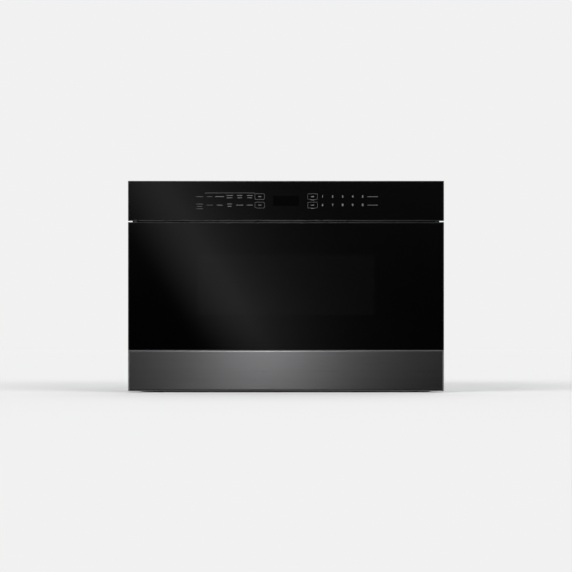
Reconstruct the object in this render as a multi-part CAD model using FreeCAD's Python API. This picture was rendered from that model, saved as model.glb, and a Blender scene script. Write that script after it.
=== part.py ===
"""A built-in microwave drawer, front 759 x 505 mm, as separate pieces.

The frame: X to the right, Y to the back, Z up, millimetres. The origin is under the middle of the whole
object, on the surface that its feet stand on. The front faces -Y. The drawer slides out along -Y.
"""

import FreeCAD, Part

import math
import os

Vector = FreeCAD.Vector

# ---------------------------------------------------------------- driving sizes, in millimetres
# The front, as the photograph shows it
FRONT_W = 759.0
FRONT_H = 505.0
CONTROL_H = 96.0
FRONT_GAP = 3.0
STRIP_H = 99.0
STRIP_PROUD = 3.0
STRIP_EDGE_R = 4.5
STRIP_T = 1.6
TRIM_T = 1.8
TRIM_CORNER_R = 1.2
GLASS_T = 4.0
GLASS_LIP_R = 0.6
TRIM_D = 18.0
WINDOW_W = 426.0
WINDOW_LOW = 26.0
WINDOW_DROP = 17.0
DISPLAY_W = 62.0
DISPLAY_H = 23.0
DISPLAY_D = 8.0
BUMPER_INSET = 18.0

# The whole
OVERALL_D = 678.0
FRONT_D = 39.0
FRONT_LIFT = 3.0
FOOT_H = 4.0
FOOT_R = 12.0
FOOT_INSET = 42.0
BACK_RELIEF = 9.0

# The chassis
CASE_W = 704.0
CASE_TOP_DROP = 18.0
CASE_T = 1.0
BASE_T = 1.2
FRAME_T = 1.5
FRAME_RIM = 18.0
FRAME_LIFT = 2.0
FLANGE_W = 13.0
MOUNT_HOLE_R = 2.75
MOUNT_SPAN_Z = 320.0
MOUNT_LOW_Z = 60.0

# The drawer's pan and what is round it
PAN_W = 440.0
PAN_D = 430.0
PAN_Z = 160.0
PAN_TOP_DROP = 61.0
PAN_T = 1.0
PAN_CORNER_R = 12.0
PAN_FLOOR_R = 6.0
PAN_RIM_W = 4.0
TRAY_T = 5.0
TRAY_GAP = 1.5
GLIDE_H = 3.7
CAVITY_SIDE_GAP = 5.0
CAVITY_BACK_GAP = 7.0
CAVITY_TOP_GAP = 6.0
STIRRER_SPACE = 22.0
CAVITY_T = 1.0

# The door behind the glass
DOOR_T = 1.2
DOOR_REAR_GAP = 11.0
CHOKE_W = 30.0
CHOKE_D = 27.0
CHOKE_PITCH = 24.0
CHOKE_SLOT_W = 4.0
CHOKE_LIP = 8.0
CHOKE_NARROW = 2.0
MID_INSET = 2.0
CHOKE_COVER_T = 1.6
SCREEN_T = 0.6
INNER_GLASS_T = 3.0
WINDOW_LAP = 8.0

# The telescopic slides
SLIDE_X = 190.0
SLIDE_Z = 95.0
SLIDE_L = 450.0
SLIDE_SET_BACK = 8.0
SLIDE_H = 46.0
SLIDE_SHEET = 1.5
SLIDE_MID_SHEET = 1.2
SLIDE_W = 12.7
BALL_R = 1.9
SMALL_BALL_R = 1.45
BALL_PLAY = 0.15
BALL_PITCH = 24.0
BALL_INSET = 1.7
CAGE_T = 0.4
CAGE_PLAY = 0.4
CAGE_MARGIN = 25.0
MOUNT_T = 1.5
MOUNT_FOOT = 26.0
ARM_L = 150.0
TRAVEL = 380.0

# The drive
RACK_MODULE = 2.0
RACK_W = 12.0
RACK_BACK_H = 11.0
RACK_SPARE = 20.0
PINION_TEETH = 18
PINION_Z = 50.0
PINION_SET_BACK = 57.0
GEAR_MODULE = 1.0
GEAR_TEETH = 72
MOTOR_TEETH = 18
GEAR_W = 8.0
PRESSURE_ANGLE = 20.0
TOOTH_TIP_RATIO = 0.95
TOOTH_ROOT_RATIO = 1.25
BACKLASH = 0.25
GEAR_BACKLASH = 0.15
SHAFT_R = 5.0
MOTOR_SHAFT_R = 2.5
SHAFT_PLAY = 0.05
MOTOR_R = 18.0
MOTOR_L = 52.0
CHEEK_T = 1.5
CHEEK_LEFT_GAP = 6.0
CHEEK_RIGHT_GAP = 3.0
GEAR_GAP = 1.5
GEARCASE_END_GAP = 2.0
GEARCASE_T = 2.0
GEARCASE_PLAY = 3.0
LATCH_OUT = 44.0
LATCH_DROP = 40.0
LATCH_REACH = 16.0

# Microwave supply, fan and lamp
GUIDE_W = 96.0
GUIDE_H = 41.0
GUIDE_T = 1.2
STIRRER_HOLE_R = 46.0
STIRRER_R = 82.0
STIRRER_T = 1.0
STIRRER_DROP = 10.0
STIRRER_SHAFT_R = 3.0
MAGNETRON_W = 92.0
MAGNETRON_D = 78.0
MAGNETRON_H = 96.0
MAGNETRON_GAP = 16.0
FIN_COUNT = 7
FAN_R = 55.0
FAN_FRAME = 124.0
FAN_DEPTH = 26.0
FAN_BLADES = 5
FAN_PITCH = 35.0
FAN_BLADE_T = 1.8
FAN_HUB_R = 17.0
FAN_SHAFT_R = 2.5
FAN_PLAY = 4.0
FAN_INSET = 84.0
FAN_Z = 120.0
TRANSFORMER_INSET = 90.0
CORE_W = 104.0
CORE_D = 62.0
CORE_H = 88.0
GLAND_R = 5.0
GLAND_Z = 60.0
GLAND_INSET = 150.0

# General play
SEAT = 0.2
RUN = 0.3
PUSH_FIT = 0.1
NEAR = 0.01
NEARLY = 1e-6

# ---------------------------------------------------------------- places worked out from the sizes
HALF_W = FRONT_W / 2
Y_STRIP = -OVERALL_D / 2
Y_GLASS = Y_STRIP + STRIP_PROUD
Y_GLASS_BACK = Y_GLASS + GLASS_T
Y_FRAME = Y_GLASS + FRONT_D
Y_CHASSIS = Y_FRAME + FRAME_T
Y_REAR = OVERALL_D / 2
Y_BACK_PANEL = Y_REAR - BACK_RELIEF
Y_CASE_END = Y_BACK_PANEL - CASE_T - SEAT / 2

Z_FRONT = FRONT_LIFT
Z_TOP = Z_FRONT + FRONT_H
Z_STRIP_TOP = Z_FRONT + STRIP_H
Z_DRAWER_TOP = Z_TOP - CONTROL_H - FRONT_GAP
Z_CONTROL = Z_TOP - CONTROL_H
Z_CONTROL_MID = (Z_CONTROL + Z_TOP) / 2
Z_CASE = FOOT_H
Z_CASE_TOP = Z_TOP - CASE_TOP_DROP
Z_BASE_TOP = Z_CASE + BASE_T

CASE_X = CASE_W / 2
FRAME_X = CASE_X + FRAME_RIM
FAN_X = CASE_X - FAN_INSET
TRANSFORMER_X = -CASE_X + TRANSFORMER_INSET
GLAND_X = -CASE_X + GLAND_INSET
Y_DOOR = Y_GLASS_BACK + SEAT
Y_DOOR_REAR = Y_FRAME - DOOR_REAR_GAP
DOOR_X = HALF_W - TRIM_T - SEAT
Z_DOOR = Z_FRONT + STRIP_T + 2 * SEAT
Z_DOOR_TOP = Z_DRAWER_TOP - TRIM_T - SEAT

PAN_X = PAN_W / 2 + PAN_T
Y_PAN = Y_DOOR_REAR
Y_PAN_BACK = Y_PAN + PAN_D + 2 * PAN_T
Z_PAN_TOP = Z_DRAWER_TOP - PAN_TOP_DROP
Z_TRAY = PAN_Z + PAN_T + SEAT

CAVITY_X = PAN_X + CAVITY_SIDE_GAP
Y_CAVITY_BACK = Y_PAN_BACK + CAVITY_BACK_GAP
Z_CAVITY = PAN_Z - GLIDE_H - RUN
Z_MOUTH_TOP = Z_PAN_TOP + CAVITY_TOP_GAP
Z_CEILING = Z_MOUTH_TOP + STIRRER_SPACE
Y_COOK = (Y_PAN + Y_PAN_BACK) / 2

WINDOW_X = WINDOW_W / 2
Z_WINDOW = PAN_Z + WINDOW_LOW
Z_WINDOW_TOP = Z_PAN_TOP - WINDOW_DROP

CHOKE_X = CAVITY_X + CHOKE_W
Z_CHOKE = Z_CAVITY - CHOKE_W + CHOKE_NARROW
Z_CHOKE_TOP = Z_MOUTH_TOP + CHOKE_W - CHOKE_NARROW
Y_CHOKE_RIM = Y_FRAME - CHOKE_COVER_T - 2 * RUN
Y_CHOKE_FLOOR = Y_CHOKE_RIM - CHOKE_D

Y_SLIDE = Y_CHASSIS + SLIDE_SET_BACK
OUTER_IN_Z = SLIDE_H / 2 - SLIDE_SHEET
MID_HALF_H = OUTER_IN_Z - 2 * BALL_R - 2 * BALL_PLAY
MID_IN_Z = MID_HALF_H - SLIDE_MID_SHEET
INNER_HALF_H = MID_IN_Z - 2 * SMALL_BALL_R - 2 * BALL_PLAY
MOUNT_X = SLIDE_X + SLIDE_W

PINION_Y = Y_FRAME + PINION_SET_BACK
PINION_PITCH_R = RACK_MODULE * PINION_TEETH / 2
RACK_Z = PINION_Z + PINION_PITCH_R
RACK_TIP_Z = RACK_Z - TOOTH_TIP_RATIO * RACK_MODULE
RACK_ROOT_Z = RACK_Z + TOOTH_ROOT_RATIO * RACK_MODULE
RACK_TOP_Z = RACK_ROOT_Z + RACK_BACK_H
RACK_REAR_Y = PINION_Y + TRAVEL + RACK_SPARE
GEAR_PITCH_R = GEAR_MODULE * GEAR_TEETH / 2
MOTOR_PITCH_R = GEAR_MODULE * MOTOR_TEETH / 2
GEAR_CENTRES = GEAR_PITCH_R + MOTOR_PITCH_R
MOTOR_Y = PINION_Y + GEAR_CENTRES
CHEEK_LEFT_X = -RACK_W / 2 - CHEEK_LEFT_GAP
CHEEK_RIGHT_X = RACK_W / 2 + CHEEK_RIGHT_GAP
GEAR_X = CHEEK_RIGHT_X + CHEEK_T + GEAR_GAP
GEARCASE_END_X = GEAR_X + GEAR_W + GEARCASE_END_GAP

Z_GUIDE = Z_CEILING + CAVITY_T
MAGNETRON_Y = Y_CAVITY_BACK + CAVITY_T + MAGNETRON_GAP + MAGNETRON_D / 2
Z_STIRRER = Z_CEILING - STIRRER_DROP

LATCH_X = CHOKE_X + LATCH_OUT
LATCH_Z = Z_CHOKE_TOP - LATCH_DROP
LATCH_TIP_Y = Y_CHASSIS + LATCH_REACH


# ---------------------------------------------------------------- shapes
def block(x0, x1, y0, y1, z0, z1):
    """A rectangular solid between two corners."""
    return Part.makeBox(x1 - x0, y1 - y0, z1 - z0, Vector(x0, y0, z0))


def rod(radius, start, end):
    """A round bar from one point to another."""
    along = Vector(*end) - Vector(*start)
    return Part.makeCylinder(radius, along.Length, Vector(*start), along)


def fused(shapes):
    """One solid from several that touch or overlap."""
    first, *rest = shapes
    return first.fuse(rest).removeSplitter() if rest else first


def without(shape, *tools):
    """The shape with every tool cut from it."""
    flat = [t for tool in tools for t in (tool if isinstance(tool, list) else [tool])]
    return shape.cut(flat) if flat else shape


def mirrored(shape):
    """The left-hand copy of a right-hand shape."""
    return shape.mirror(Vector(0, 0, 0), Vector(1, 0, 0))


def both_sides(shape):
    return [shape, mirrored(shape)]


def group(shapes):
    return Part.makeCompound(shapes)


def extruded(points, along):
    """A prism on a closed outline of points."""
    return Part.Face(Part.makePolygon([*points, points[0]])).extrude(along)


def edges_along(shape, direction, test=lambda middle: True):
    """The straight edges that run along a direction and whose middle passes a test."""
    found = []
    for edge in shape.Edges:
        if len(edge.Vertexes) != 2:
            continue
        run = edge.Vertexes[1].Point - edge.Vertexes[0].Point
        middle = (edge.Vertexes[1].Point + edge.Vertexes[0].Point) / 2
        if run.Length > NEARLY and run.cross(direction).Length < NEARLY * run.Length and test(middle):
            found.append(edge)
    return found


def round_edges(shape, test):
    """The shape's full circles whose centre passes a test."""
    return [e for e in shape.Edges if len(e.Vertexes) == 1 and test(e.CenterOfMass)]


def rounded_block(x0, x1, y0, y1, z0, z1, radius, direction):
    """A block with its four edges along one direction rounded."""
    shape = block(x0, x1, y0, y1, z0, z1)
    return shape.makeFillet(radius, edges_along(shape, direction))


def centred_steps(low, high, pitch):
    """Evenly pitched places that fill a length, centred in it."""
    count = max(1, int((high - low) / pitch + NEARLY))
    start = (low + high) / 2 - (count - 1) * pitch / 2
    return [start + i * pitch for i in range(count)]


# ---------------------------------------------------------------- screws, each with its hole
SCREW_R = 1.9
SCREW_HOLE_R = 2.1
SCREW_HEAD_R = 4.0
SCREW_HEAD_H = 2.2
SCREW_L = 9.0
SCREW_ROUND_RATIO = 0.45
RECESS_REACH = 2.2
RECESS_HALF_W = 0.45
RECESS_DEPTH = 1.1
SCREW_INSET = 40.0
BACK_SCREW_X = 0.4 * CASE_X


def screw(at, inward):
    """A pan-head screw whose head sits on the surface at a point and whose shank runs inward."""
    at, inward = Vector(*at), Vector(*inward)
    head = Part.makeCylinder(SCREW_HEAD_R, SCREW_HEAD_H, at, -inward)
    outer_rim = round_edges(head, lambda m: (m - at).Length > SCREW_HEAD_H / 2)
    head = head.makeFillet(SCREW_HEAD_H * SCREW_ROUND_RATIO, outer_rim)
    shank = Part.makeCylinder(SCREW_R, SCREW_L, at, inward)
    outer = at - inward * SCREW_HEAD_H
    across = inward.cross(Vector(0, 0, 1)) if abs(inward.z) < 0.5 else Vector(1, 0, 0)
    other = inward.cross(across)
    recess = []
    for long_way, short_way in ((across, other), (other, across)):
        corners = [
            outer + long_way * a * RECESS_REACH + short_way * b * RECESS_HALF_W
            for a, b in ((-1, -1), (1, -1), (1, 1), (-1, 1))
        ]
        recess.append(extruded(corners, inward * RECESS_DEPTH))
    return fused([head, shank]).cut(recess)


def screw_hole(at, inward, depth=SCREW_L):
    """The clearance hole for that screw, from a little outside the surface."""
    at, inward = Vector(*at), Vector(*inward)
    return Part.makeCylinder(SCREW_HOLE_R, depth + 1.0, at - inward, inward)


def back_screw_places():
    """Screws through the back panel into the flanges of the wrapper and the base."""
    x = CASE_X - CASE_T - FLANGE_W / 2
    heights = [Z_CASE + SCREW_INSET, (Z_CASE + Z_CASE_TOP) / 2, Z_CASE_TOP - SCREW_INSET]
    sides = [(s * x, Y_BACK_PANEL, z) for s in (-1, 1) for z in heights]
    low, high = Z_BASE_TOP + FLANGE_W / 2, Z_CASE_TOP - CASE_T - FLANGE_W / 2
    rows = [(s * BACK_SCREW_X, Y_BACK_PANEL, z) for s in (-1, 1) for z in (low, high)]
    return sides + rows


def side_screw_places():
    """Screws through the wrapper's right side into the base's flange."""
    ys = [Y_CHASSIS + SCREW_INSET, (Y_CHASSIS + Y_CASE_END) / 2, Y_CASE_END - SCREW_INSET]
    return [(CASE_X, y, Z_BASE_TOP + FLANGE_W / 2) for y in ys]


def frame_screw_places():
    """Screws through the front frame into the wrapper's front flanges."""
    x = CASE_X - CASE_T - FLANGE_W / 2
    return [(s * x, Y_FRAME, z) for s in (-1, 1) for z in (Z_CASE + SCREW_INSET, Z_CONTROL - SCREW_INSET)]


INTO_BACK = (0, -1, 0)
INTO_FRONT = (0, 1, 0)
INTO_RIGHT = (-1, 0, 0)


def back_holes():
    return [screw_hole(p, INTO_BACK) for p in back_screw_places()]


def low_side_holes():
    return [screw_hole(p, INTO_RIGHT) for p in side_screw_places()]


def frame_holes():
    return [screw_hole(p, INTO_FRONT) for p in frame_screw_places()]


def case_screws():
    right = [screw(p, INTO_RIGHT) for p in side_screw_places()]
    return group(
        [screw(p, INTO_BACK) for p in back_screw_places()]
        + right
        + [mirrored(s) for s in right]
        + [screw(p, INTO_FRONT) for p in frame_screw_places()]
    )


# ---------------------------------------------------------------- the outer case
SLOT_H = 3.0
SLOT_PITCH = 8.0
SLOT_END_R = SLOT_H * 0.49
VENT_X = 70.0
VENT_L = 90.0
VENT_SET_BACK = 40.0
INLET_MARGIN = 6.0
OUTLET_INSET = 92.0
OUTLET_W = 120.0
OUTLET_H = 90.0
OUTLET_DROP = 60.0
FOOT_TAPER = 1.5
FOOT_STUD_R = 3.0
FOOT_STUD_H = 5.0
POST_R = 4.0
POST_H = 8.0
BEAD_COUNT = 3
BEAD_INSET = 60.0
BEAD_R = 9.0
BEAD_END_R = BEAD_R * 0.98
BEAD_H = 1.5
GLAND_NECK_R = 9.0
GLAND_NECK_IN = 8.0
GLAND_COLLAR_R = 14.0
GLAND_COLLAR_T = 5.4
GLAND_NUT_T = 6.0


def vent_slots_y(x0, x1, z0, z1, y0, y1):
    """Round-ended slots along X, stacked in Z, that cut a sheet square to Y."""
    return [
        rounded_block(x0, x1, y0 - 1, y1 + 1, z - SLOT_H / 2, z + SLOT_H / 2, SLOT_END_R, Vector(0, 1, 0))
        for z in centred_steps(z0, z1, SLOT_PITCH)
    ]


def vent_slots_x(y0, y1, z0, z1, x0, x1):
    """The same slots along Y, in a sheet square to X."""
    return [
        rounded_block(x0 - 1, x1 + 1, y0, y1, z - SLOT_H / 2, z + SLOT_H / 2, SLOT_END_R, Vector(1, 0, 0))
        for z in centred_steps(z0, z1, SLOT_PITCH)
    ]


def vent_slots_z(x0, x1, y0, y1, z0, z1):
    """Slots along X, side by side in Y, in a flat floor."""
    return [
        rounded_block(x0, x1, y - SLOT_H / 2, y + SLOT_H / 2, z0 - 1, z1 + 1, SLOT_END_R, Vector(0, 0, 1))
        for y in centred_steps(y0, y1, SLOT_PITCH)
    ]


def foot_places():
    x = CASE_X - FOOT_INSET
    return [(s * x, y) for s in (-1, 1) for y in (Y_CHASSIS + FOOT_INSET, Y_CASE_END - FOOT_INSET)]


def base_pan():
    """The floor of the chassis, flanged all round, with inlet slots and pressed posts for the power board."""
    x, y0, y1 = CASE_X - CASE_T - SEAT, Y_CHASSIS + SEAT, Y_CASE_END
    reach = x - FLANGE_W - CASE_T
    z0, z1 = Z_CASE, Z_BASE_TOP + FLANGE_W
    side_y0, side_y1 = y0 + CASE_T + 2 * SEAT, y1 - CASE_T - 2 * SEAT
    sheet = fused([
        block(-x, x, y0, y1, z0, Z_BASE_TOP),
        *both_sides(block(x - BASE_T, x, side_y0, side_y1, z0, z1)),
        block(-reach, reach, y0, y0 + BASE_T, z0, z1),
        block(-reach, reach, y1 - BASE_T, y1, z0, z1),
        *[rod(POST_R, (px, py, z0), (px, py, Z_BASE_TOP + POST_H)) for px, py in post_places()],
    ])
    slots = [
        s
        for x0, x1 in ((-VENT_X - VENT_L, -VENT_X), (VENT_X, VENT_X + VENT_L))
        for s in vent_slots_z(x0, x1, Y_CAVITY_BACK - VENT_L, Y_CAVITY_BACK + VENT_L / 2, z0, Z_BASE_TOP)
    ]
    stud_way_r = FOOT_STUD_R + PUSH_FIT
    studs = [rod(stud_way_r, (fx, fy, z0 - 1), (fx, fy, Z_BASE_TOP + 1)) for fx, fy in foot_places()]
    holes = low_side_holes()
    return without(sheet, slots, studs, back_holes(), holes, [mirrored(h) for h in holes])


def feet():
    """Four rubber feet, each with a barbed stud pushed through the base pan."""
    made = []
    for x, y in foot_places():
        pad = Part.makeCone(FOOT_R, FOOT_R - FOOT_TAPER, FOOT_H, Vector(x, y, 0))
        stud = rod(FOOT_STUD_R, (x, y, FOOT_H), (x, y, FOOT_H + BASE_T + FOOT_STUD_H))
        made.append(fused([pad, stud]))
    return group(made)


def case_wrapper():
    """The folded sheet that makes the case's top and both sides, flanged at its front and rear edges."""
    y0, y1, z0, z1 = Y_CHASSIS + SEAT / 2, Y_CASE_END, Z_CASE, Z_CASE_TOP
    outer = block(-CASE_X, CASE_X, y0, y1, z0, z1)
    x = CASE_X - CASE_T
    inner = block(-x, x, y0 + CASE_T, y1 - CASE_T, z0 - 1, z1 - CASE_T)
    reach = x - FLANGE_W
    way = block(-reach, reach, y0 - 1, y1 + 1, z0 - 1, z1 - CASE_T - FLANGE_W)
    foot = block(-x, x, y0 - 1, y1 + 1, z0 - 1, Z_BASE_TOP + FLANGE_W + SEAT)
    bead_x = CASE_X - BEAD_INSET
    beads = [
        rounded_block(-bead_x, bead_x, y - BEAD_R, y + BEAD_R, z1 - CASE_T / 2, z1 + BEAD_H, BEAD_END_R,
                      Vector(0, 0, 1))
        for y in centred_steps(y0, y1, (y1 - y0) / (BEAD_COUNT + 0.5))
    ]
    vent_y = Y_CAVITY_BACK + VENT_SET_BACK
    slots = vent_slots_x(vent_y, vent_y + VENT_L, Z_MOUTH_TOP, Z_MOUTH_TOP + VENT_L, x, CASE_X)
    holes = low_side_holes()
    shape = fused([outer.cut([inner, way, foot]), *beads])
    return without(shape, slots, holes, [mirrored(h) for h in holes + slots], back_holes(), frame_holes())


def back_panel():
    """The rear sheet, with the fan's inlet, an outlet field and the hole for the cord gland."""
    y0, y1 = Y_BACK_PANEL - CASE_T, Y_BACK_PANEL
    shape = block(-CASE_X, CASE_X, y0, y1, Z_CASE, Z_CASE_TOP)
    reach = FAN_R - INLET_MARGIN
    inlet = [
        rounded_block(FAN_X - half, FAN_X + half, y0 - 1, y1 + 1, z - SLOT_H / 2, z + SLOT_H / 2,
                      SLOT_END_R, Vector(0, 1, 0))
        for z in centred_steps(FAN_Z - reach, FAN_Z + reach, SLOT_PITCH)
        for half in [math.sqrt(max(reach**2 - (z - FAN_Z) ** 2, SLOT_H**2))]
    ]
    x0, z1 = -CASE_X + OUTLET_INSET, Z_CASE_TOP - OUTLET_DROP
    outlet = vent_slots_y(x0, x0 + OUTLET_W, z1 - OUTLET_H, z1, y0, y1)
    gland = gland_rod(GLAND_NECK_R + PUSH_FIT, y0 - 1, y1 + 1)
    return without(shape, inlet, outlet, gland, back_holes())


def gland_rod(radius, y0, y1):
    """A round bar along Y on the cord gland's axis."""
    return rod(radius, (GLAND_X, y0, GLAND_Z), (GLAND_X, y1, GLAND_Z))


def cord_gland():
    """The bush that the supply cord would pass through: a collar behind the panel and a nut inside."""
    inner, outer = Y_BACK_PANEL - CASE_T, Y_BACK_PANEL
    neck = gland_rod(GLAND_NECK_R, inner - GLAND_NECK_IN, outer + BACK_RELIEF)
    collar = gland_rod(GLAND_COLLAR_R, outer, outer + GLAND_COLLAR_T)
    nut = gland_rod(GLAND_COLLAR_R, inner - GLAND_NUT_T, inner)
    return fused([neck, collar, nut]).cut(gland_rod(GLAND_R, inner - GLAND_NECK_IN - 1, outer + BACK_RELIEF + 1))


# ---------------------------------------------------------------- the front frame
BRACKET_T = 2.0
BRACKET_Z = 17.0
LATCH_W = 8.0
LATCH_T = 5.0
PASS_GAP = 3.0
SHELF_GAP = 1.0
TAB_W = 28.0
TAB_L = 46.0


def mount_places():
    x = CASE_X + FRAME_RIM / 2
    return [(s * x, z) for s in (-1, 1) for z in (MOUNT_LOW_Z, MOUNT_LOW_Z + MOUNT_SPAN_Z)]


def switch_shelf_z():
    return LATCH_Z - LATCH_T / 2 - PASS_GAP - SHELF_GAP


def front_frame():
    """The plate that the chassis hangs on.

    It has the cavity's mouth, a passage for each member of the drawer, four screw holes in its rim, and a tab
    folded back under each latch finger for a switch to sit on.
    """
    y0, y1 = Y_FRAME, Y_CHASSIS
    plate = block(-FRAME_X, FRAME_X, y0, y1, Z_CASE + FRAME_LIFT, Z_CASE_TOP)
    tab = block(LATCH_X - TAB_W / 2, LATCH_X + TAB_W / 2, y0, y1 + TAB_L,
                switch_shelf_z() - FRAME_T, switch_shelf_z())
    mouth = block(-CAVITY_X, CAVITY_X, y0 - 1, y1 + 1, Z_CAVITY, Z_MOUTH_TOP)
    slide_way = block(
        SLIDE_X - BRACKET_T - PASS_GAP, SLIDE_X + SLIDE_W + PASS_GAP, y0 - 1, y1 + 1,
        SLIDE_Z - SLIDE_H / 2 - PASS_GAP, SLIDE_Z + SLIDE_H / 2 + PASS_GAP,
    )
    rack_x = RACK_W / 2 + PASS_GAP
    rack_way = block(-rack_x, rack_x, y0 - 1, y1 + 1, RACK_TIP_Z - PASS_GAP, RACK_TOP_Z + PASS_GAP)
    latch_way = block(
        LATCH_X - LATCH_W / 2 - PASS_GAP, LATCH_X + LATCH_W / 2 + PASS_GAP, y0 - 1, y1 + 1,
        switch_shelf_z(), LATCH_Z + LATCH_T / 2 + PASS_GAP,
    )
    mounts = [rod(MOUNT_HOLE_R, (x, y0 - 1, z), (x, y1 + 1, z)) for x, z in mount_places()]
    ways = [mouth, rack_way, *both_sides(slide_way), *both_sides(latch_way)]
    return without(fused([plate, *both_sides(tab)]), ways, mounts, frame_holes())


# ---------------------------------------------------------------- the oven cavity
LINER_RIM = 10.0
LAMP_FORWARD = 90.0
LAMP_DROP = 40.0
LAMP_Y = Y_COOK - LAMP_FORWARD
LAMP_Z = Z_PAN_TOP - LAMP_DROP
LAMP_HOLE_R = 1.6
LAMP_HOLE_PITCH = 6.0
LAMP_FIELD = 18.0
COVER_MARGIN = 16.0
COVER_WALL = 2.0
COVER_CORNER_R = 14.0
GUIDE_FRONT = 12.0
GUIDE_REAR = 36.0
GUIDE_FLANGE = 10.0
GUIDE_LIP = 2.0
ANTENNA_R = 8.0
ANTENNA_GAP = 3.0
SHAFT_GAP = 1.0
STIRRER_MOTOR_R = 25.0
STIRRER_MOTOR_H = 18.0
STIRRER_MOTOR_ROOF = 4.0
CAN_ROUND_R = 2.5
EAR_REACH = 36.0
EAR_HALF_W = 7.0
EAR_END_R = 6.5
EAR_T = 1.5
EAR_HOLE_X = 31.0
EAR_HOLE_R = 1.8
STIRRER_HUB_R = 18.0
STIRRER_COLLAR_R = 6.0
STIRRER_COLLAR_H = 4.0
BLADE_ROOT_X = 8.0
BLADE_ROOT_HALF_W = 9.0
BLADE_TIP_HALF_W = 20.0
BLADE_TIP_CUT = 6.0
BLADE_NOSE_CUT = 2.0
FOLD_START = 30.0
FOLD_END_CUT = 12.0
FOLD_OUT = 15.0
FOLD_H = 5.0
STIRRER_REST_ANGLE = 20.0


def cavity_liner():
    """The steel box that the drawer's pan runs in, with a flange round its open front, behind the front frame."""
    x, y0, y1 = CAVITY_X, Y_CHASSIS + SEAT / 2, Y_CAVITY_BACK
    outer = block(-x - CAVITY_T, x + CAVITY_T, y0, y1 + CAVITY_T, Z_CAVITY - CAVITY_T, Z_CEILING + CAVITY_T)
    rim_x = x + LINER_RIM
    flange = block(-rim_x, rim_x, y0, y0 + CAVITY_T, Z_CAVITY - LINER_RIM, Z_CEILING + LINER_RIM)
    inner = block(-x, x, y0 - 1, y1, Z_CAVITY, Z_CEILING)
    feed = rod(STIRRER_HOLE_R, (0, Y_COOK, Z_CEILING - 1), (0, Y_COOK, Z_CEILING + CAVITY_T + 1))
    lamp = [
        rod(LAMP_HOLE_R, (x - 1, y, z), (x + CAVITY_T + 1, y, z))
        for y in centred_steps(LAMP_Y - LAMP_FIELD, LAMP_Y + LAMP_FIELD, LAMP_HOLE_PITCH)
        for z in centred_steps(LAMP_Z - LAMP_FIELD, LAMP_Z + LAMP_FIELD, LAMP_HOLE_PITCH)
    ]
    return without(fused([outer, flange]), inner, feed, lamp)


def stirrer_cover():
    """The shallow plastic tray under the ceiling that keeps spatter off the stirrer."""
    z0, z1 = Z_MOUTH_TOP, Z_CEILING - SEAT

    def form(half, low, high, corner_r):
        return rounded_block(-half, half, Y_COOK - half, Y_COOK + half, low, high, corner_r, Vector(0, 0, 1))

    half = STIRRER_R + COVER_MARGIN
    hollow = form(half - COVER_WALL, z0 + COVER_WALL, z1 + 1, COVER_CORNER_R - COVER_WALL)
    return form(half, z0, z1, COVER_CORNER_R).cut(hollow)


def waveguide():
    """The rectangular duct from the magnetron to the hole over the stirrer."""
    y0, y1 = Y_COOK - STIRRER_HOLE_R - GUIDE_FRONT, MAGNETRON_Y + GUIDE_REAR
    x, z0, z1 = GUIDE_W / 2, Z_GUIDE + SEAT / 2, Z_GUIDE + GUIDE_H
    outer = block(-x, x, y0, y1, z0, z1)
    inner = block(-x + GUIDE_T, x - GUIDE_T, y0 + GUIDE_T, y1 - GUIDE_T, z0 + GUIDE_T, z1 - GUIDE_T)
    foot = block(-x - GUIDE_FLANGE, x + GUIDE_FLANGE, y0, Y_CAVITY_BACK - GUIDE_FLANGE, z0, z0 + GUIDE_T)
    mouth = rod(STIRRER_HOLE_R - GUIDE_LIP, (0, Y_COOK, z0 - 1), (0, Y_COOK, z0 + GUIDE_T + 1))
    antenna = rod(ANTENNA_R + ANTENNA_GAP, (0, MAGNETRON_Y, z0 - 1), (0, MAGNETRON_Y, z0 + GUIDE_T + 1))
    shaft = rod(STIRRER_SHAFT_R + SHAFT_GAP, (0, Y_COOK, z1 - GUIDE_T - 1), (0, Y_COOK, z1 + 1))
    return fused([outer, foot]).cut([inner, mouth, antenna, shaft])


def stirrer_motor():
    """The small synchronous motor on top of the duct, with two mounting ears."""
    z0 = Z_GUIDE + GUIDE_H + SEAT / 2
    roof = z0 + STIRRER_MOTOR_H - STIRRER_MOTOR_ROOF
    can = rod(STIRRER_MOTOR_R, (0, Y_COOK, z0), (0, Y_COOK, z0 + STIRRER_MOTOR_H))
    can = can.makeFillet(CAN_ROUND_R, round_edges(can, lambda m: m.z > z0 + 1))
    ears = rounded_block(-EAR_REACH, EAR_REACH, Y_COOK - EAR_HALF_W, Y_COOK + EAR_HALF_W, z0, z0 + EAR_T,
                         EAR_END_R, Vector(0, 0, 1))
    bore = rod(STIRRER_SHAFT_R + SHAFT_PLAY, (0, Y_COOK, z0 - 1), (0, Y_COOK, roof))
    hole = rod(EAR_HOLE_R, (EAR_HOLE_X, Y_COOK, z0 - 1), (EAR_HOLE_X, Y_COOK, z0 + EAR_T + 1))
    return fused([can, ears]).cut([bore, *both_sides(hole)])


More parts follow.
